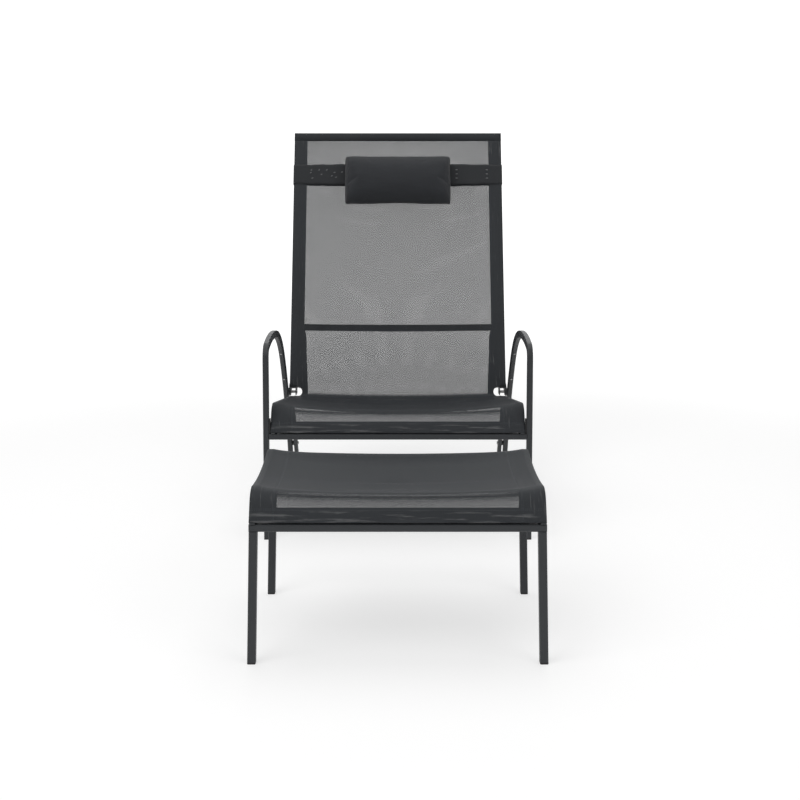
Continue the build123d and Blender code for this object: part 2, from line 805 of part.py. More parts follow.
def footstool_rail(y):
    """A cross rail whose ends are welded shut, with a drain hole in its underside."""
    middle, half = footstool_rail_top - rail_height / 2, footstool_width / 2
    filled = tube_section(leg_depth, rail_height, 0)
    ends = bar_along_x(filled, y, middle, half) - bar_along_x(filled, y, middle, half - tube_wall)
    rail = bar_along_x(tube_section(leg_depth, rail_height), y, middle, half) + ends
    return rail - Pos(0, y, fs_rail_low) * Cylinder(footstool_drain_radius, 2 * tube_wall + running_gap)


def footstool_hem(front):
    edge = fs_edges[0] if front else fs_edges[-1]
    if front:
        return hem_pocket(edge @ 0, edge % 0, fs_sleeve_in, hoop_wrap)
    return hem_pocket(edge @ 1 - (edge % 1) * hem_height, edge % 1, fs_sleeve_in, hoop_wrap)


def footstool_sling():
    cloth = sling(
        fs_edges, run_bands, fs_hoop_x, hoop_width, leg_depth, footstool_sag, footstool_sag_shares
    )
    for front in (True, False):
        band, pocket, _ = footstool_hem(front)
        cloth = cloth + band - pocket
    return cloth - slab(footstool_rail_top - leg_depth, footstool_rail_top + soft_gap)


def footstool_hem_bars():
    bars = [footstool_hem(front)[2] for front in (True, False)]
    cut = slab(footstool_rail_top - leg_depth, footstool_rail_top + soft_gap)
    return Compound(children=[bar - cut for bar in bars])


# All nodes


def build():
    parts = {
        "front_rail": front_rail(),
        "rear_rail": rear_rail(),
        "seat_sling": seat_sling(),
        "seat_hem_bar": seat_hem_bar(),
        "side_spacers": pair(side_spacer),
        "stay_bolts": pair(stay_bolt),
        "stay_spacers": pair(stay_spacer),
        "seat_rail_plugs": pair(rail_plug),
        "arm_screws": pair(arm_screws),
        "front_glides": pair(front_glide),
        "rear_glides": pair(rear_glide),
        "back_top_bar": back_top_bar(),
        "back_crossbar": back_crossbar(),
        "back_sling": back_sling(),
        "bracket_screws": pair(bracket_screw),
        "pivot_spacers": pair(pivot_spacer),
        "headrest_cover": headrest_cover(),
        "headrest_core": headrest_core(),
        "headrest_strap": headrest_strap(),
        "footstool_sling": footstool_sling(),
        "footstool_hem_bars": footstool_hem_bars(),
        "footstool_front_rail": footstool_rail(fs_front),
        "footstool_rear_rail": footstool_rail(fs_rear),
        "footstool_glides": Compound(
            children=[s for y in (fs_front, fs_rear) for s in pair(lambda: footstool_glide(y)).solids()]
        ),
    }
    sided = {
        "side_frame": side_frame,
        "seat_rail": seat_rail,
        "index_plate": index_plate,
        "pivot_pin": pivot_pin,
        "back_rail": back_rail,
        "hinge_bracket": hinge_bracket,
        "lock_pin": lock_pin,
        "footstool_side_rail": footstool_side_rail,
        "footstool_front_leg": lambda: footstool_leg(fs_front)[0],
        "footstool_rear_leg": lambda: footstool_leg(fs_rear)[0],
    }
    for name, make in sided.items():
        parts[f"{name}_left"], parts[f"{name}_right"] = both_sides(make)
    return parts


def main():
    parts = build()
    boxes = [part.bounding_box() for part in parts.values()]
    front, rear = min(box.min.Y for box in boxes), max(box.max.Y for box in boxes)
    shift = -(front + rear) / 2
    os.makedirs("parts", exist_ok=True)
    for name, part in parts.items():
        export_step(Pos(0, shift, 0) * part, f"parts/{name}.step")
    places = {
        "shift": shift,
        "pivot": (pivot_y + shift, pivot_height),
        "lock": (lock_place()[0] + shift, lock_place()[1]),
        "front foot": (leg_depth / 2 + shift, side_x),
        "rear foot": (rear_leg_y(0) + shift, side_x),
        "footstool feet": (fs_front + shift, fs_rear + shift),
        "size": (max(box.max.X for box in boxes) * 2, rear - front, max(box.max.Z for box in boxes)),
    }
    for name, place in places.items():
        print(name, place)


main()
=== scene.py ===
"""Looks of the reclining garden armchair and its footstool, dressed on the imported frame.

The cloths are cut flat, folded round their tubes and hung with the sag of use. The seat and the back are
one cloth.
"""

import json
from collections import namedtuple
from math import ceil, cos, hypot, pi, radians, sin, sqrt, tan

import bmesh
import bpy
from bpy.props import FloatProperty, FloatVectorProperty, PointerProperty
from mathutils import Matrix, Vector


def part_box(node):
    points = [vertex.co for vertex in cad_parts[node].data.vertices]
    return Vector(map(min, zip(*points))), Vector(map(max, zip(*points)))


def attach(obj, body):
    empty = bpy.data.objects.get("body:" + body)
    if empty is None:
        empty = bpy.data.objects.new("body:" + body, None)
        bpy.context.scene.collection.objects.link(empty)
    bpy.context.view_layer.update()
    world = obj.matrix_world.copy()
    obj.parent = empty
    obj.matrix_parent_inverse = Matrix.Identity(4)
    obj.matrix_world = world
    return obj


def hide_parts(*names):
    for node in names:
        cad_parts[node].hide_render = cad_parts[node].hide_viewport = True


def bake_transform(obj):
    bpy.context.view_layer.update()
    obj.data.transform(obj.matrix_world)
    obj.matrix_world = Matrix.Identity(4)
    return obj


bl_info = {
    "name": "Reclining garden armchair",
    "version": (1, 0, 0),
    "blender": (4, 5, 0),
    "location": "3D View > Sidebar > Armchair",
    "description": "Dresses the packed frame of a reclining garden armchair and its footstool",
    "category": "Object",
}

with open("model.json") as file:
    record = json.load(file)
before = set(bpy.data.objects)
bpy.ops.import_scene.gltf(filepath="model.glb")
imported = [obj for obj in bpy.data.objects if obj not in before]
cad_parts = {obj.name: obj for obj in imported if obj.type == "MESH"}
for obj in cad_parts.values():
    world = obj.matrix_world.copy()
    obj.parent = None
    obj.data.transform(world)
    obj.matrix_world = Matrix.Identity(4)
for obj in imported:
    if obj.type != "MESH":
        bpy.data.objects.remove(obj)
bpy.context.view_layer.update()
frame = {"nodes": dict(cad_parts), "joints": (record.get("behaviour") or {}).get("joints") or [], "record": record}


def highest(node):
    """Highest corner of a node's box at rest."""
    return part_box(node)[1]


def middle_y(node):
    """Middle of a node's box from front to rear."""
    low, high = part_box(node)
    return (low.y + high.y) / 2


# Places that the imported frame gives
rail_y = middle_y("front_rail")
rail_top = highest("front_rail").z
seat_top = highest("seat_sling").z
back_edge = highest("back_sling").x
stool_front = middle_y("footstool_front_rail")
stool_rear = middle_y("footstool_rear_rail")
stool_rail_top = highest("footstool_front_rail").z
stool_top = highest("footstool_sling").z
stool_edge = highest("footstool_sling").x
strap_edge = highest("headrest_strap").x
pivot = Vector(next(joint["pos_m"] for joint in frame["joints"] if joint["name"] == "back_recline"))

# Angles and sizes that the frame was drawn with, in radians and metres
DROP_LEAN = radians(25)
SEAT_SLOPE = radians(9.5)
RECLINE = radians(18)
STOOL_DIP = radians(8)
SEAT_ROLL = 0.035
STOOL_ROLL = 0.030
TUBE_DEPTH = 0.020
SIDE_TUBE = 0.012
BACK_TUBE = 0.020
BACK_TUBE_DEPTH = 0.015
TOP_BAR = 0.020
BACK_LENGTH = 0.842
HEM_HEIGHT = 0.030
STRAP_RISE = 0.020
PILLOW_SHARE = 0.81
# How far the outside of the cloth stands off its tubes
SKIN = 0.0012

# The cloth's own details: the bend between seat and back, and the finger notches beside it
BEND_RADIUS = 0.012
NOTCH_RADIUS = 0.0148
NOTCH_INSET = 0.0242
NOTCH_RISE = 0.0118
NOTCH_MARGIN = 0.001
SLEEVE_PAST_BEND = 0.0042
# Lower hems: thickness round the bar, and what the footstool's take to go round it
HEM_POCKET = 0.0034
# Hems: gap under the cloth, rows of stitches beside the edge, the groove that they pull in, and their pitch
HEM_GAP = 0.0012
STITCH_ROWS = (0.003, 0.0055)
STITCH_GROOVE = 0.0042
STITCH_PITCH = 0.0045
# Side sleeves: radius of their corners, how far in from the tube their faces meet, and the gap there
SLEEVE_CORNER = 0.0035
SLEEVE_MOUTH = 0.006
MOUTH_GAP = 0.0014
# Distances inside a hem, for cloth that has no hem near and for cloth that is all hem
NO_HEM = -0.1
INSIDE_HEM = 0.02
# Sag where the cloth lies over a bar
TAUT = 0.0005
# Spacing of the rows along a cloth, most turn from row to row, and number of columns across it
ROW_PITCH = 0.012
ROW_TURN = radians(9)
COLUMNS = 44

up_back = Vector((0, sin(RECLINE), cos(RECLINE)))
off_back = Vector((0, cos(RECLINE), -sin(RECLINE)))


# Settings


def length_setting(name, description, default):
    """A size in metres."""
    return FloatProperty(name=name, description=description, default=default, unit="LENGTH")


def share_setting(name, description, default, most=1.0):
    """A share of a whole."""
    return FloatProperty(name=name, description=description, default=default, min=0.0, max=most)


def colour_setting(name, description, default):
    """The colour of a finish."""
    return FloatVectorProperty(
        name=name, description=description, default=default, subtype="COLOR", min=0, max=1
    )


class SlingSettings(bpy.types.PropertyGroup):
    """Sizes of the cloths."""

    seat_sag: length_setting("Seat sag", "How far the middle of the seat hangs", 0.034)
    back_sag: length_setting("Back sag", "How far the middle of the back hangs", 0.014)
    stool_sag: length_setting("Footstool sag", "How far the middle of the footstool hangs", 0.0235)
    seat_hem: length_setting("Seat side hem", "Width of the doubled cloth beside the seat's tubes", 0.046)
    notch_hem: length_setting(
        "Hem at the notch", "Width of the doubled cloth where the finger holes are cut", 0.034
    )
    waist_hem: length_setting(
        "Hem at the cross tube", "Width of the doubled cloth just under the back's cross tube", 0.0272
    )
    back_hem: length_setting("Back side hem", "Width of the doubled cloth beside the back's tubes", 0.0195)
    stool_hem: length_setting(
        "Footstool side hem", "Width of the doubled cloth beside the footstool's tubes", 0.038
    )
    thickness: length_setting("Cloth thickness", "Thickness of the woven cloth", 0.0008)
    yarn_pitch: length_setting("Yarn pitch", "Distance from yarn to yarn in the mesh", 0.0016)
    openness: share_setting("Openness", "Share of the mesh that is holes", 0.236, most=0.9)
    loaded: share_setting(
        "Closed under load", "Share of a hole's width that closes where people sit or lay their feet", 0.7
    )


class HeadrestSettings(bpy.types.PropertyGroup):
    """Sizes of the pillow and its strap."""

    pressure: FloatProperty(name="Filling", description="How hard the filling pushes the cover", default=4.0)
    swell: length_setting("Swell", "The furthest that the filling pushes the cover", 0.007)
    draw: length_setting("Draw", "How far the edges draw in between the corners", 0.0035)
    seam: length_setting("Seam", "How deep the seam round the cover lies", 0.0014)
    strap_width: length_setting("Strap width", "Width of the band behind the pillow", 0.069)
    strap_taper: share_setting("Strap taper", "Share of its width lost towards the rails", 0.085)
    strap_thickness: length_setting("Strap thickness", "Thickness of the elastic band", 0.0014)


class FinishSettings(bpy.types.PropertyGroup):
    """Colours of the finishes."""

    paint: colour_setting("Frame paint", "Colour of the powder coat", (0.0265, 0.0295, 0.033))
    mesh: colour_setting("Mesh", "Colour of the coated yarn", (0.031, 0.0345, 0.039))
    # Painted highlight: the paler colour of folds and puckers where they catch the light
    fold_highlight: colour_setting("Folds", "Colour of the yarn where folds catch the light", (0.125, 0.127, 0.13))
    pillow: colour_setting("Pillow", "Colour of the pillow's cloth", (0.019, 0.021, 0.025))
    webbing: colour_setting("Webbing", "Colour of the elastic band", (0.020, 0.022, 0.025))
    thread: colour_setting("Thread", "Colour of the stitches' thread", (0.26, 0.265, 0.27))
    # Painted shade in the grooves between the thread's plies
    twist: colour_setting("Thread twist", "Colour between the plies of the thread", (0.16, 0.165, 0.17))
    plastic: colour_setting("Plastic", "Colour of glides, spacers and plugs", (0.014, 0.014, 0.015))
    steel: colour_setting("Steel", "Colour of pins and bolts", (0.38, 0.38, 0.38))


class StageSettings(bpy.types.PropertyGroup):
    """Camera and light."""

    camera_height: length_setting("Camera height", "Height of the lens", 1.0257)
    camera_distance: length_setting("Camera distance", "How far the lens is in front of the middle", 3.1794)
    camera_pitch: FloatProperty(
        name="Camera pitch", description="How far the camera looks down",
        default=radians(5.0), subtype="ANGLE",
    )
    lens: FloatProperty(name="Lens", description="Focal length in millimetres", default=54.7)
    shift_x: FloatProperty(name="Shift X", description="Sideways shift of the frame", default=0.00275)
    shift_y: FloatProperty(name="Shift Y", description="Upward shift of the frame", default=-0.1773)
    floor_white: share_setting("Floor white", "Share of plain white in the floor that the camera sees", 0.47)
    light: FloatProperty(name="Light", description="Scales every lamp and the sky", default=0.6, min=0)


def settings(name):
    """The group of settings that the scene holds under a name."""
    return getattr(bpy.context.scene, name)


# Shader maths


def both_forms(operation):
    """An operator with the value first, and its reflected form."""
    return (
        lambda self, other: self.finish.math(operation, self, other),
        lambda self, other: self.finish.math(operation, other, self),
    )


class Level:
    """A value or colour in a material. Sums on values add Math nodes."""

    def __init__(self, finish, socket):
        self.finish, self.socket = finish, socket

    def math(self, operation, *others):
        return self.finish.math(operation, self, *others)

    __add__, __radd__ = both_forms("ADD")
    __sub__, __rsub__ = both_forms("SUBTRACT")
    __mul__, __rmul__ = both_forms("MULTIPLY")
    __truediv__, __rtruediv__ = both_forms("DIVIDE")

    def step(self, low, high):
        """0 below low, 1 above high, smooth between."""
        inputs = {"Value": self, "From Min": low, "From Max": high}
        return self.finish.node("ShaderNodeMapRange", {"interpolation_type": "SMOOTHSTEP"}, inputs)[0]

    def near(self, place, close, far):
        """1 closer than close to a place, 0 further than far from it, smooth between."""
        return 1 - (self - place).math("ABSOLUTE").step(close, far)

    def wave(self, pitch):
        """0 in the middle of each stripe of that pitch, 1 between two stripes."""
        return ((self / pitch).math("FRACT") - 0.5).math("ABSOLUTE") * 2


def most(levels):
    """The highest of some values at each place."""
    found = levels[0]
    for level in levels[1:]:
        found = found.math("MAXIMUM", level)
    return found


class Made:
    """A node, whose outputs are taken by name or number."""

    def __init__(self, finish, node):
        self.finish, self.node = finish, node

    def __getitem__(self, key):
        return Level(self.finish, self.node.outputs[key])


class Finish:
    """A material that is built from nodes."""

    def __init__(self, name):
        self.material = bpy.data.materials.new(name)
        self.material.use_nodes = True
        self.tree = self.material.node_tree
        self.tree.nodes.clear()
        self.output = self.tree.nodes.new("ShaderNodeOutputMaterial")

    def node(self, kind, options=None, inputs=None):
        """A new node of a kind. Its options are set first, then the values or links of its sockets."""
        made = self.tree.nodes.new(kind)
        for name, value in (options or {}).items():
            setattr(made, name, value)
        for name, value in (inputs or {}).items():
            socket = made.inputs[name]
            if isinstance(value, Level):
                self.tree.links.new(value.socket, socket)
            elif hasattr(socket.default_value, "__len__"):
                opaque = [1.0] * (len(socket.default_value) - len(value))
                socket.default_value = [*value, *opaque]
            else:
                socket.default_value = value
        return Made(self, made)

    def math(self, operation, *values):
        return self.node("ShaderNodeMath", {"operation": operation}, dict(enumerate(values)))[0]

    def mix(self, factor, a, b):
        """Colour a where factor is 0, b where it is 1."""
        return self.node("ShaderNodeMix", {"data_type": "RGBA"}, {0: factor, 6: a, 7: b})[2]

    def place(self):
        """The place on the piece at rest, which doesn't slide when the piece moves."""
        return self.node("ShaderNodeTexCoord")["Object"]

    def flat(self, scale=(1, 1, 1), sheet="Flat"):
        """Metres across and along the flat cloth, or past the edges of its hems."""
        return self.stretched(self.node("ShaderNodeUVMap", {"uv_map": sheet})["UV"], scale)

    def stretched(self, vector, scale):
        return self.node("ShaderNodeVectorMath", {"operation": "MULTIPLY"}, {0: vector, 1: scale})[0]

    def parts(self, vector):
        made = self.node("ShaderNodeSeparateXYZ", None, {0: vector})
        return made[0], made[1], made[2]

    def grain(self, vector, scale=1.0, detail=3.0, rough=0.5):
        """Noise from 0 to 1."""
        inputs = {"Vector": vector, "Scale": scale, "Detail": detail, "Roughness": rough}
        return self.node("ShaderNodeTexNoise", None, inputs)["Fac"]

    def bump(self, height, distance, strength, normal=None):
        """Relief on the surface, over another relief where normal is given."""
        inputs = {"Height": height, "Distance": distance, "Strength": strength}
        if normal is not None:
            inputs["Normal"] = normal
        return self.node("ShaderNodeBump", None, inputs)["Normal"]

    def surface(self, **inputs):
        """Ends the material in one shader with these inputs."""
        named = {name.replace("_", " "): value for name, value in inputs.items()}
        return self.end(self.node("ShaderNodeBsdfPrincipled", None, named))

    def end(self, shader):
        self.tree.links.new(shader[0].socket, self.output.inputs["Surface"])
        return self.material


def tone(colour, share):
    """A colour made lighter or darker."""
    return tuple(min(1.0, c * share) for c in colour)


def powder_coat():
    """Satin powder coat: fine orange peel, slight clouding and a little dust."""
    colour = settings("chair_finish").paint
    f = Finish("anthracite_powder_coat")
    place = f.place()
    cloud = f.grain(place, scale=9.0, detail=4.0)
    dust = f.grain(place, scale=60.0, detail=5.0, rough=0.6).step(0.52, 0.78)
    peel = f.grain(place, scale=900.0, detail=2.0)
    speck = f.grain(place, scale=2600.0, detail=1.0)
    base = f.mix(cloud, tone(colour, 0.86), tone(colour, 1.16))
    base = f.mix(dust * 0.18, base, tone(colour, 2.1))
    normal = f.bump(peel * 0.7 + speck * 0.3, distance=0.00012, strength=0.5)
    rough = 0.44 + cloud * 0.10 + dust * 0.06
    return f.surface(Base_Color=base, Roughness=rough, Metallic=0.0, IOR=1.5, Normal=normal)


def moulded_plastic():
    """Matte moulded plastic with a fine spark texture."""
    colour = settings("chair_finish").plastic
    f = Finish("black_moulded_plastic")
    place = f.place()
    spark = f.grain(place, scale=1800.0, detail=2.0)
    scuff = f.grain(place, scale=140.0, detail=5.0, rough=0.65).step(0.55, 0.75)
    base = f.mix(scuff * 0.35, colour, tone(colour, 2.4))
    normal = f.bump(spark, distance=0.00015, strength=0.6)
    return f.surface(Base_Color=base, Roughness=0.55 + scuff * 0.15, Normal=normal)


def brushed_steel():
    """Steel pins and bolt heads, turned and slightly dulled."""
    colour = settings("chair_finish").steel
    f = Finish("brushed_steel")
    place = f.place()
    ring = f.grain(f.stretched(place, (3000, 300, 300)), detail=2.0)
    dull = f.grain(place, scale=220.0, detail=4.0).step(0.45, 0.7)
    base = f.mix(dull * 0.4, colour, tone(colour, 0.62))
    normal = f.bump(ring, distance=0.00004, strength=0.5)
    return f.surface(Base_Color=base, Roughness=0.28 + dull * 0.18, Metallic=1.0, Normal=normal)


def laden_part(across, along, half, load):
    """1 where the cloth carries weight, 0 elsewhere.

    Half is the cloth's half width. Load is the stretch that carries weight in the middle of the cloth, and
    how much further on it starts and ends beside the tubes.
    """
    start, end, start_bow, end_bow = load
    outward = (across / half) * (across / half)
    begun = (along - outward * start_bow).step(start - 0.008, start + 0.008)
    return begun * (1 - (along - outward * end_bow).step(end - 0.006, end + 0.006))


def stitches(past_side, past_end, across, along):
    """Two rows of stitches beside the edge of each hem."""
    return most([
        inside.near(row, 0.00025, 0.0006) * (1 - run.wave(STITCH_PITCH).step(0.62, 0.74))
        for inside, run in ((past_side, along), (past_end, across))
        for row in STITCH_ROWS
    ])


def creases_and_highlights(f, past_side, past_end, along, puckers):
    """Wrinkles in the end hems, and in the side hems puckers of (from, to, strength) along the cloth. The mask
    gives their relief and the painted highlight where they catch the light.
    """
    wrinkle = f.grain(f.flat((9, 120, 0)), detail=4.0, rough=0.62).step(0.50, 0.66)
    pucker = f.grain(f.flat((210, 13, 0)), rough=0.6).step(0.58, 0.72)
    found = [wrinkle * past_end.step(0.004, 0.012) * 0.75]
    for start, end, strength in puckers:
        inside = along.step(start, start + 0.02) * (1 - along.step(end - 0.02, end))
        found.append(inside * past_side.step(-0.004, 0.004) * pucker * strength)
    return most(found)


def sling_mesh(name, half, puckers, load):
    """Coated open weave with closed, sewn hems. See laden_part and creases for half, puckers and load."""
    sling, finish = settings("chair_sling"), settings("chair_finish")
    colour, pitch, gap = finish.mesh, sling.yarn_pitch, sqrt(sling.openness)
    f = Finish(name)
    across, along, _ = f.parts(f.flat())
    past_side, past_end, _ = f.parts(f.flat(sheet="Seam"))

    # The weave: warp and weft wander a little, and leave holes that close under load
    solid = 1 - gap + laden_part(across, along, half, load) * (sling.loaded * gap)
    wander = (f.grain(f.flat((1, 1, 0)), scale=55.0, detail=2.0) - 0.5) * (0.25 * pitch)
    warp, weft = (across + wander).wave(pitch), (along - wander).wave(pitch)
    soft = 0.08
    hole = warp.step(solid - soft, solid + soft) * weft.step(solid - soft, solid + soft)
    in_hem = most([past_side.step(-0.0002, 0.0002), past_end.step(-0.0002, 0.0002)])
    turn = (across / pitch).math("FLOOR") + (along / pitch).math("FLOOR")
    turn = turn.math("MODULO", 2.0).math("ABSOLUTE")
    over = turn * (1 - warp) + (1 - turn) * (1 - weft)
    lengthwise = f.grain(f.flat((1, 0.12, 0)), scale=900.0, detail=2.0)
    crosswise = f.grain(f.flat((0.12, 1, 0)), scale=900.0, detail=2.0)
    thread = lengthwise * 0.5 + crosswise * 0.5
    cloud = f.grain(f.flat(), scale=6.0, detail=4.0)

    sewn = stitches(past_side, past_end, across, along)
    groove = most([inside.near(STITCH_GROOVE, 0.0004, 0.0032) for inside in (past_side, past_end)])
    # Folds and puckers: their relief, and the mask of their painted highlight
    crease_and_highlight = creases_and_highlights(f, past_side, past_end, along, puckers)

    base = f.mix(cloud * 0.6 + thread * 0.4, tone(colour, 0.78), tone(colour, 1.22))
    # Painted shade: the holes in the doubled hems and sleeves are darker, standing in for the shaded layer or tube
    # behind them
    base = f.mix(hole * in_hem * 0.8, base, tone(colour, 0.45))
    base = f.mix(sewn * 0.8, base, tone(colour, 1.9))
    # Painted highlight on the folds and puckers
    base = f.mix(crease_and_highlight, base, finish.fold_highlight)
    normal = f.bump(over * 0.5 + thread * 0.2, distance=0.0003, strength=0.55)
    normal = f.bump(sewn - groove * 0.8, distance=0.0006, strength=0.7, normal=normal)
    normal = f.bump(crease_and_highlight, distance=0.0012, strength=0.6, normal=normal)
    return f.surface(
        Base_Color=base, Roughness=0.6 + thread * 0.12, Alpha=1 - hole * (1 - in_hem), Normal=normal,
        Specular_IOR_Level=0.3,
    )


def pillow_cloth():
    """Plain woven cover with a fine canvas grain and one sewn seam round it."""
    colour = settings("chair_finish").pillow
    f = Finish("pillow_cloth")
    place = f.place()
    x, y, z = f.parts(place)
    pitch = 0.0011
    warp, weft = x.wave(pitch), (y * 0.3 + z).wave(pitch)
    slub = f.grain(f.stretched(place, (300, 1500, 1500)))
    cloud = f.grain(place, scale=22.0, detail=4.0)
    seam = f.node("ShaderNodeAttribute", {"attribute_name": "seam"})["Fac"]
    # The seam line: its furrow in the relief, and the mask of painted shade along it
    line = 1 - seam.step(0.0003, 0.0012)
    dash = seam.near(0.004, 0.0003, 0.0007) * (1 - (x + z).wave(0.0042).step(0.60, 0.72))
    crease = f.grain(f.stretched(place, (26, 60, 60)), rough=0.55)
    gather = f.grain(f.stretched(place, (70, 320, 320)), detail=2.0) * (1 - seam.step(0.002, 0.020))
    base = f.mix(cloud * 0.5 + slub * 0.5, tone(colour, 0.80), tone(colour, 1.25))
    # Painted shade: darker along the seam line, where its furrow lies in shade
    base = f.mix(line * 0.6, base, tone(colour, 0.3))
    base = f.mix(dash * 0.7, base, tone(colour, 2.0))
    weave = (1 - warp) * 0.5 + (1 - weft) * 0.5 + slub * 0.4
    normal = f.bump(weave, distance=0.00025, strength=0.5)
    normal = f.bump(crease, distance=0.004, strength=0.35, normal=normal)
    normal = f.bump(gather + dash * 0.2 - line * 0.6, distance=0.002, strength=0.5, normal=normal)
    return f.surface(
        Base_Color=base, Roughness=0.82 + slub * 0.08, Normal=normal, Sheen_Weight=0.12, Sheen_Roughness=0.5
    )


def elastic_webbing():
    """Ribbed elastic band."""
    colour = settings("chair_finish").webbing
    f = Finish("elastic_webbing")
    across, along, _ = f.parts(f.flat())
    rib, pick = across.wave(0.0016), along.wave(0.0011)
    fuzz = f.grain(f.flat((1, 0.3, 0)), scale=1500.0)
    # Darker between the ribs: painted shade in the grooves, mixed with random fuzz
    base = f.mix(rib * 0.5 + fuzz * 0.5, tone(colour, 1.3), tone(colour, 0.72))
    normal = f.bump((1 - rib) * 0.7 + pick * 0.2 + fuzz * 0.2, distance=0.0004, strength=0.7)
    return f.surface(Base_Color=base, Roughness=0.85, Normal=normal, Sheen_Weight=0.15)


def sewing_thread():
    """Thread of the stitches, a little paler than what it sews, and darker between its plies as painted shade in
    their grooves.
    """
    finish = settings("chair_finish")
    f = Finish("sewing_thread")
    ply = f.grain(f.stretched(f.place(), (2500, 900, 900)), detail=2.0)
    # Painted shade: darker in the grooves between the plies
    base = f.mix(ply, finish.twist, finish.thread)
    normal = f.bump(ply, distance=0.0001, strength=0.5)
    return f.surface(Base_Color=base, Roughness=0.6, Normal=normal)


# Objects


def placed(name, data):
    """A new object in the scene."""
    made = bpy.data.objects.new(name, data)
    bpy.context.scene.collection.objects.link(made)
    return made


def meshed(name, mesh):
    """A new object in the scene that takes over a bmesh."""
    data = bpy.data.meshes.new(name)
    mesh.to_mesh(data)
    mesh.free()
    return placed(name, data)


def apply_modifiers(made):
    """The piece keeps what its modifiers make of it."""
    depsgraph = bpy.context.evaluated_depsgraph_get()
    data = bpy.data.meshes.new_from_object(made.evaluated_get(depsgraph))
    made.modifiers.clear()
    made.data = data


# Cloth cut flat and folded round the frame


def bent_line(start, heading, steps, pitch=ROW_PITCH):
    """Points, each with its heading and the length so far.

    A step is (length,) for a straight or (radius, turn) for an arc, and a turn above zero is to the left.
    """
    y, z, length = start[0], start[1], 0.0
    found = [(y, z, heading, length)]
    for step in steps:
        if len(step) == 1:
            count = max(1, ceil(step[0] / pitch))
            for _ in range(count):
                y += cos(heading) * step[0] / count
                z += sin(heading) * step[0] / count
                length += step[0] / count
                found.append((y, z, heading, length))
        else:
            radius, turn = step
            side = 1 if turn > 0 else -1
            cy, cz = y - sin(heading) * radius * side, z + cos(heading) * radius * side
            count = max(3, ceil(abs(turn) * radius / pitch), ceil(abs(turn) / ROW_TURN))
            for _ in range(count):
                heading += turn / count
                y, z = cy + sin(heading) * radius * side, cz - cos(heading) * radius * side
                length += abs(turn) * radius / count
                found.append((y, z, heading, length))
    return found


def eased(*rows):
    """A value along the cloth that goes smoothly from row to row of (place, value)."""

    def value_at(place):
        if place <= rows[0][0]:
            return rows[0][1]
        for (a, low), (b, high) in zip(rows, rows[1:]):
            if place <= b:
                t = (place - a) / (b - a)
                return low + (high - low) * t * t * (3 - 2 * t)
        return rows[-1][1]

    return value_at


def rounded(corners, radius, parts=3):
    """A bent outline of (x, y) corners whose inner corners are rounded."""
    corners = [Vector((x, y, 0)) for x, y in corners]
    found = [corners[0]]
    for before, at, after in zip(corners, corners[1:], corners[2:]):
        back, on = before - at, after - at
        reach = min(radius, back.length / 2, on.length / 2)
        a, b = at + back.normalized() * reach, at + on.normalized() * reach
        for i in range(parts + 1):
            t = i / parts
            found.append(a.lerp(at, t).lerp(at.lerp(b, t), t))
    found.append(corners[-1])
    return found


def lengths_along(points, start=0.0):
    """The length of a line of points up to each of them."""
    found = [start]
    for a, b in zip(points, points[1:]):
        found.append(found[-1] + (b - a).length)
    return found


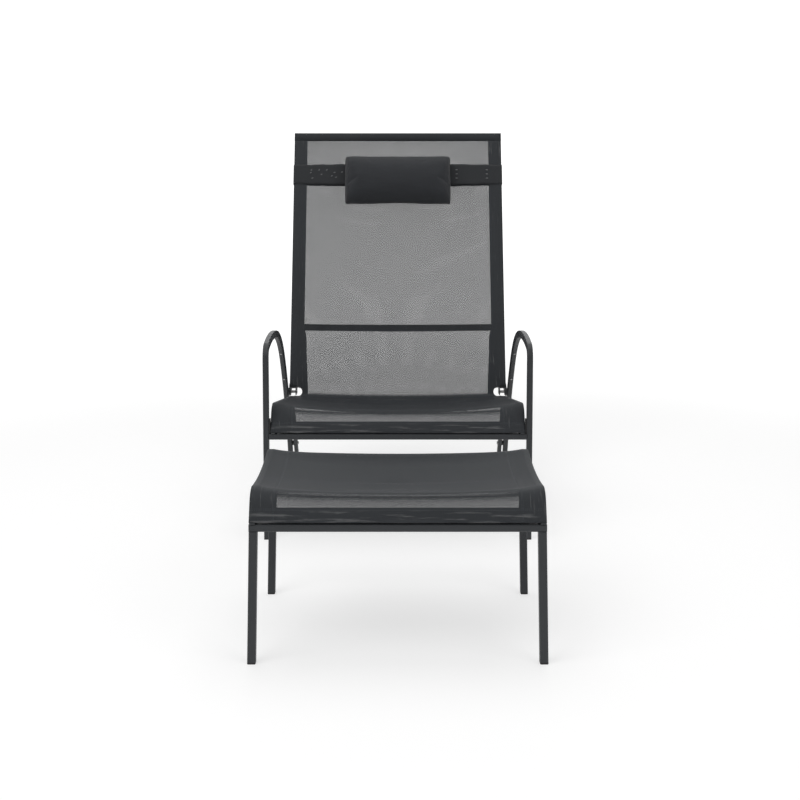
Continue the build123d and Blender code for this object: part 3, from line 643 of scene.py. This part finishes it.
class Cloth:
    """One cloth, laid flat for the cuts and then hung on the frame."""

    def __init__(self, name):
        self.name = name
        self.mesh = bmesh.new()
        self.flat = self.mesh.loops.layers.uv.new("Flat")
        self.seam = self.mesh.loops.layers.uv.new("Seam")
        self.hung = self.mesh.verts.layers.float_vector.new("hung")

    def grid(self, rows, flats, seams):
        """Adds rows of hung places, their places on the flat cloth and how far they are inside its hems."""
        made = []
        for row, flat_row in zip(rows, flats):
            line = [self.mesh.verts.new((u, v, 0)) for u, v in flat_row]
            for vert, place in zip(line, row):
                vert[self.hung] = place
            made.append(line)
        for i in range(len(rows) - 1):
            for j in range(len(rows[0]) - 1):
                corners = [(i, j), (i, j + 1), (i + 1, j + 1), (i + 1, j)]
                face = self.mesh.faces.new([made[a][b] for a, b in corners])
                for loop, (a, b) in zip(face.loops, corners):
                    loop[self.flat].uv = flats[a][b]
                    loop[self.seam].uv = seams[a][b]
                face.smooth = True

    def sew(self):
        """Joins the laid grids where they meet on the flat cloth, with their upper faces up."""
        bmesh.ops.remove_doubles(self.mesh, verts=self.mesh.verts[:], dist=0.00005)
        self.mesh.normal_update()
        for face in self.mesh.faces:
            if face.normal.z < 0:
                face.normal_flip()

    def cut_round(self, x, along, radius, side):
        """Cuts a round hole at the edge and the slot from it out to the edge."""
        reach = 2.4 * radius
        near = [
            f for f in self.mesh.faces
            if all(abs(v.co.y - along) < reach and side * v.co.x > x - reach for v in f.verts)
        ]
        steps = 12
        for i in range(steps + 1):
            angle = pi / 2 + pi * i / steps
            normal = Vector((side * cos(angle), sin(angle), 0))
            edges, verts = {e for f in near for e in f.edges}, {v for f in near for v in f.verts}
            cut = bmesh.ops.bisect_plane(
                self.mesh, geom=[*near, *edges, *verts], dist=1e-7, plane_no=normal,
                plane_co=Vector((side * x, along, 0)) + normal * radius * cos(pi / 2 / steps),
            )
            near = [g for g in cut["geom"] if isinstance(g, bmesh.types.BMFace)]
        gone = []
        for f in near:
            middle = f.calc_center_median()
            out, up = side * middle.x - x, abs(middle.y - along)
            if up < radius and (out > 0 or hypot(out, up) < radius):
                gone.append(f)
        bmesh.ops.delete(self.mesh, geom=gone, context="FACES")

    def area(self):
        """Flat area of the cloth."""
        return sum(face.calc_area() for face in self.mesh.faces)

    def hang(self, material, thickness):
        """Moves every place of the flat cloth to where it hangs, and gives the cloth its thickness."""
        for vert in self.mesh.verts:
            vert.co = vert[self.hung]
        made = meshed(self.name, self.mesh)
        made.data.attributes.remove(made.data.attributes["hung"])
        made.data.materials.append(material)
        solid = made.modifiers.new("thickness", "SOLIDIFY")
        solid.thickness, solid.offset = thickness, -1
        solid.use_even_offset = False
        apply_modifiers(made)
        return made


# How a cloth is cut and hung. Each value is a function of the place along it: the half width between the
# sleeves, the sag, the width of the side hem, and how far that place is inside an end hem.
Cut = namedtuple("Cut", "half sag hem past_end")


def laid(station, x, depth):
    """A place on the cloth: out from the middle and down from its upper face."""
    y, z, heading, _ = station
    return Vector((x, y + sin(heading) * depth, z - cos(heading) * depth))


def columns(half):
    """Places across the middle of the cloth, closer together near its edges."""
    return [half * sin(pi / 2 * (2 * i / COLUMNS - 1)) for i in range(COLUMNS + 1)]


def droop(share):
    """How the cloth hangs between the tubes: 1 in the middle, 0 where the share of the half width is 1."""
    return 1 - 0.7 * share**2 - 0.3 * share**10


def lay_middle(cloth, stations, cut):
    """The cloth between the tubes."""
    rows, flats, seams = [], [], []
    for station in stations:
        at = station[3]
        half, sag, hem = cut.half(at), cut.sag(at), cut.hem(at)
        xs = columns(half)
        rows.append([laid(station, x, sag * droop(x / half)) for x in xs])
        flats.append([(x, at) for x in xs])
        seams.append([(abs(x) - half + hem, cut.past_end(at)) for x in xs])
    cloth.grid(rows, flats, seams)


def lay_sleeve(cloth, stations, cut, side, outer, deep):
    """The sleeve round a tube: over it, under it and back to the doubled hem. Gives its width laid flat."""
    rows, flats, seams = [], [], []
    for station in stations:
        at = station[3]
        inner, hem, sag = cut.half(at), cut.hem(at), cut.sag(at)
        edge = inner - hem
        under = sag * droop(edge / inner)
        outline = [
            (inner, 0), (outer, 0), (outer, deep), (inner + 0.001, deep),
            (inner - SLEEVE_MOUTH, MOUTH_GAP + under * 0.3), (edge, under + HEM_GAP),
        ]
        points = rounded(outline, SLEEVE_CORNER)
        spread = lengths_along(points)
        rows.append([laid(station, side * p.x, p.y) for p in points])
        flats.append([(side * (inner + u), at) for u in spread])
        seams.append([(hem + u, cut.past_end(at)) for u in spread])
    cloth.grid(rows, flats, seams)
    return spread[-1]


def lay_hem(cloth, station, half, onward):
    """The cloth turned in round the bar of a lower hem. Gives its length laid flat.

    Onward is 1 at the cloth's end and -1 at its start.
    """
    y, z, heading, at = station
    away = Vector((0, sin(heading), -cos(heading)))
    up = Vector((0, cos(heading), sin(heading))) * -onward
    base = Vector((0, y, z))
    r = HEM_POCKET / 2
    turned = [base + away * (r - r * cos(pi * i / 6)) - up * (r * 0.35 * sin(pi * i / 6)) for i in range(7)]
    turned += [base + away * 2 * r + up * (HEM_HEIGHT * i / 5) for i in range(1, 6)]
    xs = columns(half)
    spread = lengths_along(turned)
    rows = [[p + Vector((x, 0, 0)) for x in xs] for p in turned]
    flats = [[(x, at + onward * u) for x in xs] for u in spread]
    seams = [[(NO_HEM, HEM_HEIGHT + u)] * len(xs) for u in spread]
    cloth.grid(rows, flats, seams)
    return spread[-1]


def front_drop(rail, top, crest, roll_radius):
    """A cloth's climb from its front rail: its start, its heading, its length and the radius of the roll."""
    lift = TUBE_DEPTH / 2 + SKIN
    heading = pi / 2 - DROP_LEAN
    begin = (rail - sin(heading) * lift, top + cos(heading) * lift)
    roll = roll_radius + lift
    drop = (crest - begin[1] - roll * (1 - sin(DROP_LEAN))) / cos(DROP_LEAN)
    return begin, heading, drop, roll


def chair_line():
    """Upper face of the seat and back cloth in the side plane, from the front hem to the top bar.

    Gives its points, and the lengths at which its roll, seat, bend and back begin and at which it ends.
    """
    begin, heading, drop, roll = front_drop(rail_y, rail_top, seat_top, SEAT_ROLL)
    front = [(drop,), (roll, -(heading + SEAT_SLOPE))]
    end = bent_line(begin, heading, front, pitch=0.01)[-1]
    face = pivot - off_back * (BACK_TUBE_DEPTH / 2 + SKIN)
    turn = pi / 2 - RECLINE + SEAT_SLOPE
    # Where the seat's and the back's lines cross: run along the seat, climb up the back from beside the pivot
    sy, sz = cos(-SEAT_SLOPE), sin(-SEAT_SLOPE)
    by, bz = up_back.y, up_back.z
    dy, dz = face.y - end[0], face.z - end[1]
    run = (dy * bz - dz * by) / (sy * bz - sz * by)
    climb = (dy * sz - dz * sy) / (sy * bz - sz * by)
    short = BEND_RADIUS * tan(turn / 2)
    seat = run - short
    back = BACK_LENGTH - TOP_BAR - SKIN - climb - short
    # A row of points lies just above the notch, where the back's sleeve begins
    free = NOTCH_RISE + NOTCH_RADIUS + NOTCH_MARGIN - BEND_RADIUS * turn / 2
    stations = bent_line(begin, heading, front + [(seat,), (BEND_RADIUS, turn), (free,), (back - free,)])
    seat_at = drop + roll * (heading + SEAT_SLOPE)
    bend_at = seat_at + seat
    back_at = bend_at + BEND_RADIUS * turn
    return stations, {"roll": drop, "seat": seat_at, "bend": bend_at, "back": back_at, "end": stations[-1][3]}


class ChairSling(bpy.types.Operator):
    """Seat and back cloth: one mesh with sleeves, hems and the two finger holes"""

    bl_idname = "armchair.sling"
    bl_label = "Seat and back cloth"

    def execute(self, context):
        sling = settings("chair_sling")
        stations, at = chair_line()
        seat, bend, back, end = at["seat"], at["bend"], at["back"], at["end"]
        outer = back_edge
        seat_in = outer - SIDE_TUBE - 2 * SKIN
        back_in = outer - BACK_TUBE - 2 * SKIN
        cut = Cut(
            half=eased((bend, seat_in), (back, back_in)),
            sag=eased(
                (0, TAUT), (at["roll"] * 0.55, TAUT),
                (seat + 0.04, sling.seat_sag * 0.88), (seat + 0.2, sling.seat_sag),
                (bend - 0.08, sling.seat_sag * 0.7), (bend, sling.seat_sag * 0.24),
                (back, sling.back_sag * 0.55), (back + 0.3, sling.back_sag),
                (end - 0.12, sling.back_sag * 0.55), (end, 0.0004),
            ),
            hem=eased(
                (bend, sling.seat_hem), (back, sling.notch_hem), (back + 0.17, sling.waist_hem),
                (back + 0.215, sling.back_hem),
            ),
            past_end=lambda place: HEM_HEIGHT - place,
        )
        # The sleeves leave the notch free
        notch_at = (bend + back) / 2 + NOTCH_RISE
        seat_end = min(notch_at - NOTCH_RADIUS, bend + SLEEVE_PAST_BEND)
        seat_part = [s for s in stations if s[3] <= seat_end]
        back_part = [s for s in stations if s[3] > notch_at + NOTCH_RADIUS + 0.9 * NOTCH_MARGIN]

        cloth = Cloth("chair_sling")
        lay_middle(cloth, stations, cut)
        lower = lay_hem(cloth, stations[0], seat_in, -1)
        for side in (-1, 1):
            around = lay_sleeve(cloth, seat_part, cut, side, outer, TUBE_DEPTH + 2 * SKIN)
            lay_sleeve(cloth, back_part, cut, side, outer, BACK_TUBE_DEPTH + 2 * SKIN)
        top = self.top_sleeve(cloth, stations[-1], outer)
        cloth.sew()
        for side in (-1, 1):
            cloth.cut_round(outer - NOTCH_INSET, notch_at, NOTCH_RADIUS, side)
        area = cloth.area()
        # Under the top bar, above the notch, along the back and beside the front hem
        puckers = [
            (end - 0.14, end + 0.01, 0.8), (back + 0.012, back + 0.15, 0.6), (back + 0.25, end - 0.2, 0.2),
            (0.0, 0.09, 0.4),
        ]
        load = (at["roll"] + 0.38 * (seat - at["roll"]), back - 0.006, 0.014, 0.004)
        made = cloth.hang(sling_mesh("chair_mesh", seat_in, puckers, load), sling.thickness)
        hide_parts("seat_sling", "back_sling")
        # The seat is the widest part of the flat cloth
        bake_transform(made)
        return {"FINISHED"}

    def top_sleeve(self, cloth, station, outer):
        """The sleeve over the top bar, as wide as the back, with closed ends. Gives its length laid flat."""
        y, z, _, at = station
        base = Vector((0, y, z))
        high, deep = TOP_BAR + 2 * SKIN, BACK_TUBE_DEPTH + 2 * SKIN

        def place(up, away, x):
            return base + up_back * up + off_back * away + Vector((x, 0, 0))

        outline = [(-0.004, -0.0004), (high, 0), (high, deep), (0, deep), (-0.003, deep * 0.45)]
        points = rounded(outline, 0.0032)
        spread = lengths_along(points, start=0.002)
        xs = [outer * (2 * i / COLUMNS - 1) for i in range(COLUMNS + 1)]
        rows = [[place(p.x, p.y, x) for x in xs] for p in points]
        flats = [[(x, at + u) for x in xs] for u in spread]
        cloth.grid(rows, flats, [[(INSIDE_HEM, NO_HEM)] * len(xs)] * len(points))
        for side in (-1, 1):
            edge = [place(p.x, p.y, side * outer) for p in points]
            closed = [place(min(p.x, high - deep / 2), deep / 2, side * (outer - 0.0006)) for p in points]
            laid_flat = [[(side * reach, at + u) for u in spread] for reach in (outer, outer + deep / 2)]
            cloth.grid([edge, closed], laid_flat, [[(INSIDE_HEM, NO_HEM)] * len(points)] * 2)
        return spread[-1]


class StoolSling(bpy.types.Operator):
    """Footstool cloth with its sleeves and both hems"""

    bl_idname = "armchair.stool_sling"
    bl_label = "Footstool cloth"

    def execute(self, context):
        sling = settings("chair_sling")
        begin, heading, drop, roll = front_drop(stool_front, stool_rail_top, stool_top, STOOL_ROLL)
        shoulder = drop * sin(DROP_LEAN) + roll * (cos(DROP_LEAN) + sin(STOOL_DIP))
        span = 2 * ((stool_rear + stool_front) / 2 - begin[0] - shoulder)
        dip = span / (2 * sin(STOOL_DIP))
        turn = heading + STOOL_DIP
        steps = [(drop,), (roll, -turn), (dip, 2 * STOOL_DIP), (roll, -turn), (drop,)]
        stations = bent_line(begin, heading, steps)
        full = stations[-1][3]
        first = drop + roll * turn
        outer = stool_edge
        inner = outer - SIDE_TUBE - 2 * SKIN
        cut = Cut(
            half=eased((0, inner)),
            sag=eased(
                (0, TAUT), (drop * 0.55, TAUT), (first + 0.03, sling.stool_sag * 0.85),
                (full / 2, sling.stool_sag), (full - first - 0.03, sling.stool_sag),
                (full - drop * 0.55, TAUT), (full, TAUT),
            ),
            hem=eased((0, sling.stool_hem)),
            past_end=lambda place: HEM_HEIGHT - min(place, full - place),
        )

        cloth = Cloth("footstool_cloth")
        lay_middle(cloth, stations, cut)
        lay_hem(cloth, stations[0], inner, -1)
        lay_hem(cloth, stations[-1], inner, 1)
        for side in (-1, 1):
            around = lay_sleeve(cloth, stations, cut, side, outer, TUBE_DEPTH + 2 * SKIN)
        cloth.sew()
        area = cloth.area()
        puckers = [(0.0, 0.1, 0.5), (full - 0.1, full, 0.5)]
        laden = drop + 0.42 * roll * turn
        load = (laden, full - laden, 0.007, -0.007)
        made = cloth.hang(sling_mesh("footstool_mesh", inner, puckers, load), sling.thickness)
        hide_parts("footstool_sling")
        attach(made, "footstool")
        return {"FINISHED"}


# Headrest


def on_back(x, n, u):
    """A place given across, to the rear and up along the back."""
    return pivot + Vector((x, 0, 0)) + off_back * n + up_back * u


def in_back(place):
    """A place as seen from the back: across, to the rear and up along it."""
    offset = place - pivot
    return offset.x, offset.dot(off_back), offset.dot(up_back)


class Pillow(bpy.types.Operator):
    """Headrest pillow: a stuffed cover, flat behind, with drawn edges and a seam round it"""

    bl_idname = "armchair.pillow"
    bl_label = "Pillow"

    # Its size, how far up the back its middle is, and how far its flat face is off the middle of the rails
    length, high, deep = 0.348, 0.167, 0.072
    centre = PILLOW_SHARE * BACK_LENGTH - 0.003
    behind = -(BACK_TUBE_DEPTH / 2 + SKIN + 0.0021)
    # Points round and slices along the cut cover, size of its even mesh, and frames that the filling takes
    around, slices = 44, 48
    voxel = 0.0045
    frames = 20
    # The filling doesn't move what is this near the flat face, or a little further off it within the rim
    held, held_rim, rim = 0.006, 0.012, 0.011
    # How far the seam is in front of the flat face, how wide its furrow is, and how near the edge it stays
    seam_line, furrow, seam_reach = 0.011, 0.006, 0.03

    def execute(self, context):
        size = settings("chair_headrest")
        made = self.cover(size)
        self.fill(made, size)
        self.sew(made, size)
        made.data.materials.append(pillow_cloth())
        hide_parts("headrest_cover", "headrest_core")
        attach(made, "headrest")
        return {"FINISHED"}

    def cover(self, size):
        """The cut cover before it is filled."""
        mesh = bmesh.new()
        rings = []
        inset = size.swell * 0.5
        for i in range(self.slices + 1):
            t = 2 * i / self.slices - 1
            ring = [self.outline(t, 2 * pi * j / self.around, inset, size.draw) for j in range(self.around)]
            rings.append([mesh.verts.new(on_back(x, self.behind + n, self.centre + u)) for x, n, u in ring])
        for a, b in zip(rings, rings[1:]):
            for j in range(self.around):
                k = (j + 1) % self.around
                mesh.faces.new((a[j], a[k], b[k], b[j]))
        for ring in (rings[0], rings[-1]):
            mesh.faces.new(ring)
        bmesh.ops.recalc_face_normals(mesh, faces=mesh.faces[:])
        made = meshed("headrest_pillow", mesh)
        even = made.modifiers.new("even", "REMESH")
        even.mode, even.voxel_size = "VOXEL", self.voxel
        apply_modifiers(made)
        return made

    def outline(self, t, a, inset, draw):
        """One place on the cover: flat behind, crowned in front, drawn in between its corners."""
        end = max(0.0, (abs(t) - 0.84) / 0.16)
        thin = 0.30 + 0.70 * sqrt(max(0.0, 1 - end**2.4))
        c, s = cos(a), sin(a)
        u = abs(s) ** 0.60 * (1 if s > 0 else -1) * (self.high / 2 - inset)
        n = -(abs(c) ** 0.72) * (self.deep * thin - 2 * inset) if c > 0 else 0.0
        x = t * (self.length / 2 - inset - draw * (1 - (u / (self.high / 2)) ** 2))
        return x, n - inset, u * (1 - draw / (self.high / 2) * (1 - t * t)) + 0.1 * n

    def inward(self, x, u):
        """How far a place is inside the pillow's outline as seen from the front."""
        return min(self.length / 2 - abs(x), self.high / 2 - abs(u - self.centre))

    def fill(self, made, size):
        """Blows the cover up with its rear held, and keeps every point near where it was."""
        seam = made.vertex_groups.new(name="seam")
        start = [vert.co.copy() for vert in made.data.vertices]
        for i, co in enumerate(start):
            x, n, u = in_back(co)
            off = self.behind - n
            if off < self.held or off < self.held_rim and self.inward(x, u) < self.rim:
                seam.add([i], 1.0, "REPLACE")
        filling = made.modifiers.new("filling", "CLOTH")
        filling.settings.use_pressure = True
        filling.settings.uniform_pressure_force = size.pressure
        filling.settings.effector_weights.gravity = 0
        filling.settings.vertex_group_mass = "seam"
        filling.settings.quality = 6
        filling.collision_settings.use_collision = False
        filling.point_cache.frame_start, filling.point_cache.frame_end = 1, self.frames
        for i in range(1, self.frames + 1):
            bpy.context.scene.frame_set(i)
        apply_modifiers(made)
        bpy.context.scene.frame_set(1)
        made.vertex_groups.clear()
        for vert, was in zip(made.data.vertices, start):
            moved = vert.co - was
            if moved.length > size.swell:
                vert.co = was + moved.normalized() * size.swell

    def sew(self, made, size):
        """One subdivision, then the seam that runs round the edge of the front panel."""
        finer = made.modifiers.new("finer", "SUBSURF")
        finer.levels = finer.render_levels = 1
        apply_modifiers(made)
        line, distances = self.behind - self.seam_line, []
        for vert in made.data.vertices:
            x, n, u = in_back(vert.co)
            far = abs(n - line) if self.inward(x, u) < self.seam_reach else 1.0
            distances.append(far)
            if far < self.furrow:
                deep = size.seam * (1 - far / self.furrow) ** 2
                vert.co -= vert.normal * deep
        held = made.data.attributes.new("seam", "FLOAT", "POINT")
        held.data.foreach_set("value", distances)
        for face in made.data.polygons:
            face.use_smooth = True


class Strap(bpy.types.Operator):
    """Elastic band round the back, with the stitches that hold the pillow"""

    bl_idname = "armchair.strap"
    bl_label = "Strap"

    # Places of the stitches across and up from the middle of the band, in millimetres
    places = (
        (-280, 14), (-255, 14), (-230, 14), (-205, 6), (-181, 7), (-282, 5), (-247, -1), (-214, -6),
        (-200, -10), (-276, -13), (190, 15), (190, 1), (190, -13), (288, 15), (288, 1), (288, -13),
    )
    # Half sizes of a stitch along, across and off the band, and how far its middle is off the band
    thread = (0.0042, 0.0013, 0.0006)
    thread_lift = 0.0002
    # Gaps inside its own box and off the rails, and the radius of its bends
    side_gap, rail_gap, bend = 0.0015, 0.0004, 0.0025
    # Spacing of the points round the band, and parts that its width is divided in
    pitch, parts = 0.008, 10

    def execute(self, context):
        size = settings("chair_headrest")
        centre = PILLOW_SHARE * BACK_LENGTH + STRAP_RISE
        half = strap_edge - self.side_gap
        near = BACK_TUBE_DEPTH / 2 + SKIN + self.rail_gap
        ring = rounded([(0, -near), (half, -near), (half, near), (0, near)], self.bend, parts=4)
        ring = ring[:-1] + [Vector((-p.x, p.y, 0)) for p in reversed(ring[1:])] + [ring[0]]
        line = []
        for a, b in zip(ring, ring[1:]):
            count = max(1, ceil((b - a).length / self.pitch))
            line += [a.lerp(b, i / count) for i in range(count)]
        line.append(ring[-1])
        shares = [j / self.parts - 0.5 for j in range(self.parts + 1)]
        rows, flats = [], []
        for p, spread in zip(line, lengths_along(line)):
            width = size.strap_width * (1 - size.strap_taper * max(0.0, abs(p.x) / half - 0.5) * 2)
            ripple = 0.0006 * sin(p.x * 95) + 0.0004 * sin(p.x * 231 + 1)
            rows.append([on_back(p.x, p.y, centre + v * width + ripple) for v in shares])
            flats.append([(v * width, spread) for v in shares])
        cloth = Cloth("headrest_band")
        cloth.grid(rows, flats, flats)
        cloth.sew()
        made = cloth.hang(elastic_webbing(), size.strap_thickness)
        self.stitch(made, centre, near + size.strap_thickness)
        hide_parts("headrest_strap")
        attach(made, "headrest")
        return {"FINISHED"}

    def stitch(self, made, centre, near):
        """Short stitches on the front of the band."""
        made.data.materials.append(sewing_thread())
        mesh = bmesh.new()
        mesh.from_mesh(made.data)
        for i, (x, u) in enumerate(self.places):
            slant = (-0.5 if x < 0 else 0.0) + 0.15 * sin(5.0 * i)
            turn = Matrix.Rotation(RECLINE - pi / 2, 4, "X") @ Matrix.Rotation(slant, 4, "Z")
            at = on_back(x / 1000, -near - self.thread_lift, centre + u / 1000)
            place = Matrix.Translation(at) @ turn @ Matrix.Diagonal((*self.thread, 1))
            thread = bmesh.ops.create_icosphere(mesh, subdivisions=2, radius=1.0, matrix=place)
            for face in {f for v in thread["verts"] for f in v.link_faces}:
                face.material_index, face.smooth = 1, True
        mesh.to_mesh(made.data)
        mesh.free()


# Frame


class FrameFinish(bpy.types.Operator):
    """Powder coat, plastic and steel on the frame's own pieces"""

    bl_idname = "armchair.frame_finish"
    bl_label = "Frame finish"

    def execute(self, context):
        made = {"frame_paint": powder_coat(), "black_plastic": moulded_plastic(), "steel": brushed_steel()}
        for part in frame["record"]["subparts"]:
            if part["material_slot"] in made:
                data = frame["nodes"][part["node"]].data
                data.materials.clear()
                data.materials.append(made[part["material_slot"]])
        return {"FINISHED"}


# Stage


class Stage(bpy.types.Operator):
    """Floor, backdrop, soft lights and the camera"""

    bl_idname = "armchair.stage"
    bl_label = "Stage"

    # Name, place, size and power of each lamp
    lamps = (
        ("key", (-2.2, -2.6, 3.6), 2.6, 95),
        ("fill", (2.6, -2.8, 2.4), 2.4, 45),
        ("top", (0.0, 0.6, 4.2), 3.2, 85),
        ("rear", (0.0, 3.6, 2.6), 2.2, 30),
    )
    lit_place = Vector((0, 0, 0.4))
    sky_strength = 0.55
    # Where the floor starts in front, its depth, the bend behind it, the wall's height and half the width
    front, depth, bend, wall, side = -9.0, 16.0, 2.5, 8.0, 14.0
    floor_tone = 0.92
    white_strength = 1.29

    def execute(self, context):
        self.floor()
        self.sky()
        self.lights()
        self.camera()
        bpy.context.scene.view_settings.view_transform = "Standard"
        return {"FINISHED"}

    def floor(self):
        """Pale floor that rises into a backdrop behind the object."""
        steps = [(self.depth,), (self.bend, pi / 2), (self.wall,)]
        line = bent_line((self.front, 0.0), 0.0, steps, pitch=0.5)
        mesh = bmesh.new()
        rows = [[mesh.verts.new((x, y, z)) for x in (-self.side, self.side)] for y, z, _, _ in line]
        for a, b in zip(rows, rows[1:]):
            mesh.faces.new((a[0], a[1], b[1], b[0])).smooth = True
        made = meshed("floor", mesh)
        made.data.materials.append(self.floor_finish())

    def floor_finish(self):
        """Matte and pale. The camera and reflections see it whiter, more so away from the object."""
        white_share = settings("chair_stage").floor_white
        f = Finish("pale_floor")
        path = f.node("ShaderNodeLightPath")
        seen = path["Is Camera Ray"] + path["Is Glossy Ray"] + path["Is Transmission Ray"]
        seen = seen.math("MINIMUM", 1.0)
        plain = f.node("ShaderNodeBsdfDiffuse", None, {"Color": [self.floor_tone] * 3})
        white = f.node("ShaderNodeEmission", None, {"Color": (1, 1, 1), "Strength": self.white_strength})
        x, y, z = f.parts(f.place())
        away = (x * x + (y + 0.2) * (y + 0.2)).math("SQRT")
        far = most([away.step(1.6, 4.5), z.step(0.02, 0.8)])
        share = white_share + far * (1 - white_share)
        return f.end(f.node("ShaderNodeMixShader", None, {0: seen * share, 1: plain[0], 2: white[0]}))

    def sky(self):
        """Soft light from all round, which the camera sees as plain white."""
        world = bpy.data.worlds.new("studio")
        world.use_nodes = True
        tree = world.node_tree
        sky, plain = tree.nodes["Background"], tree.nodes.new("ShaderNodeBackground")
        path, mixed = tree.nodes.new("ShaderNodeLightPath"), tree.nodes.new("ShaderNodeMixShader")
        for made, strength in ((sky, self.sky_strength * settings("chair_stage").light), (plain, 1.0)):
            made.inputs["Color"].default_value = (1, 1, 1, 1)
            made.inputs["Strength"].default_value = strength
        tree.links.new(path.outputs["Is Camera Ray"], mixed.inputs[0])
        tree.links.new(sky.outputs[0], mixed.inputs[1])
        tree.links.new(plain.outputs[0], mixed.inputs[2])
        tree.links.new(mixed.outputs[0], tree.nodes["World Output"].inputs["Surface"])
        bpy.context.scene.world = world

    def lights(self):
        """Large square lamps that point at the object."""
        for name, place, size, power in self.lamps:
            data = bpy.data.lights.new(name, "AREA")
            data.shape, data.size, data.energy = "SQUARE", size, power * settings("chair_stage").light
            made = placed(name, data)
            made.location = place
            made.rotation_euler = (self.lit_place - Vector(place)).to_track_quat("-Z", "Y").to_euler()

    def camera(self):
        stage = settings("chair_stage")
        data = bpy.data.cameras.new("camera")
        data.lens, data.sensor_width = stage.lens, 36.0
        data.shift_x, data.shift_y = stage.shift_x, stage.shift_y
        made = placed("camera", data)
        made.location = (0, -stage.camera_distance, stage.camera_height)
        made.rotation_euler = (pi / 2 - stage.camera_pitch, 0, 0)
        bpy.context.scene.camera = made


class ArmchairPanel(bpy.types.Panel):
    """Lists the armchair's pieces and settings"""

    bl_idname = "VIEW3D_PT_armchair"
    bl_label = "Armchair"
    bl_space_type = "VIEW_3D"
    bl_region_type = "UI"
    bl_category = "Armchair"

    def draw(self, context):
        for group in GROUPS:
            box = self.layout.box()
            for name in GROUPS[group].__annotations__:
                box.prop(getattr(context.scene, group), name)
        for piece in PIECES:
            self.layout.operator(piece.bl_idname)


GROUPS = {
    "chair_sling": SlingSettings,
    "chair_headrest": HeadrestSettings,
    "chair_finish": FinishSettings,
    "chair_stage": StageSettings,
}
PIECES = (FrameFinish, ChairSling, StoolSling, Pillow, Strap, Stage)


def register():
    for made in (*GROUPS.values(), *PIECES, ArmchairPanel):
        bpy.utils.register_class(made)
    for name, group in GROUPS.items():
        setattr(bpy.types.Scene, name, PointerProperty(type=group))


def unregister():
    for name in GROUPS:
        delattr(bpy.types.Scene, name)
    for made in reversed((*GROUPS.values(), *PIECES, ArmchairPanel)):
        bpy.utils.unregister_class(made)


def main():
    register()
    for piece in PIECES:
        group, name = piece.bl_idname.split(".")
        getattr(getattr(bpy.ops, group), name)()
    bpy.context.view_layer.update()


if __name__ == "__main__":
    main()
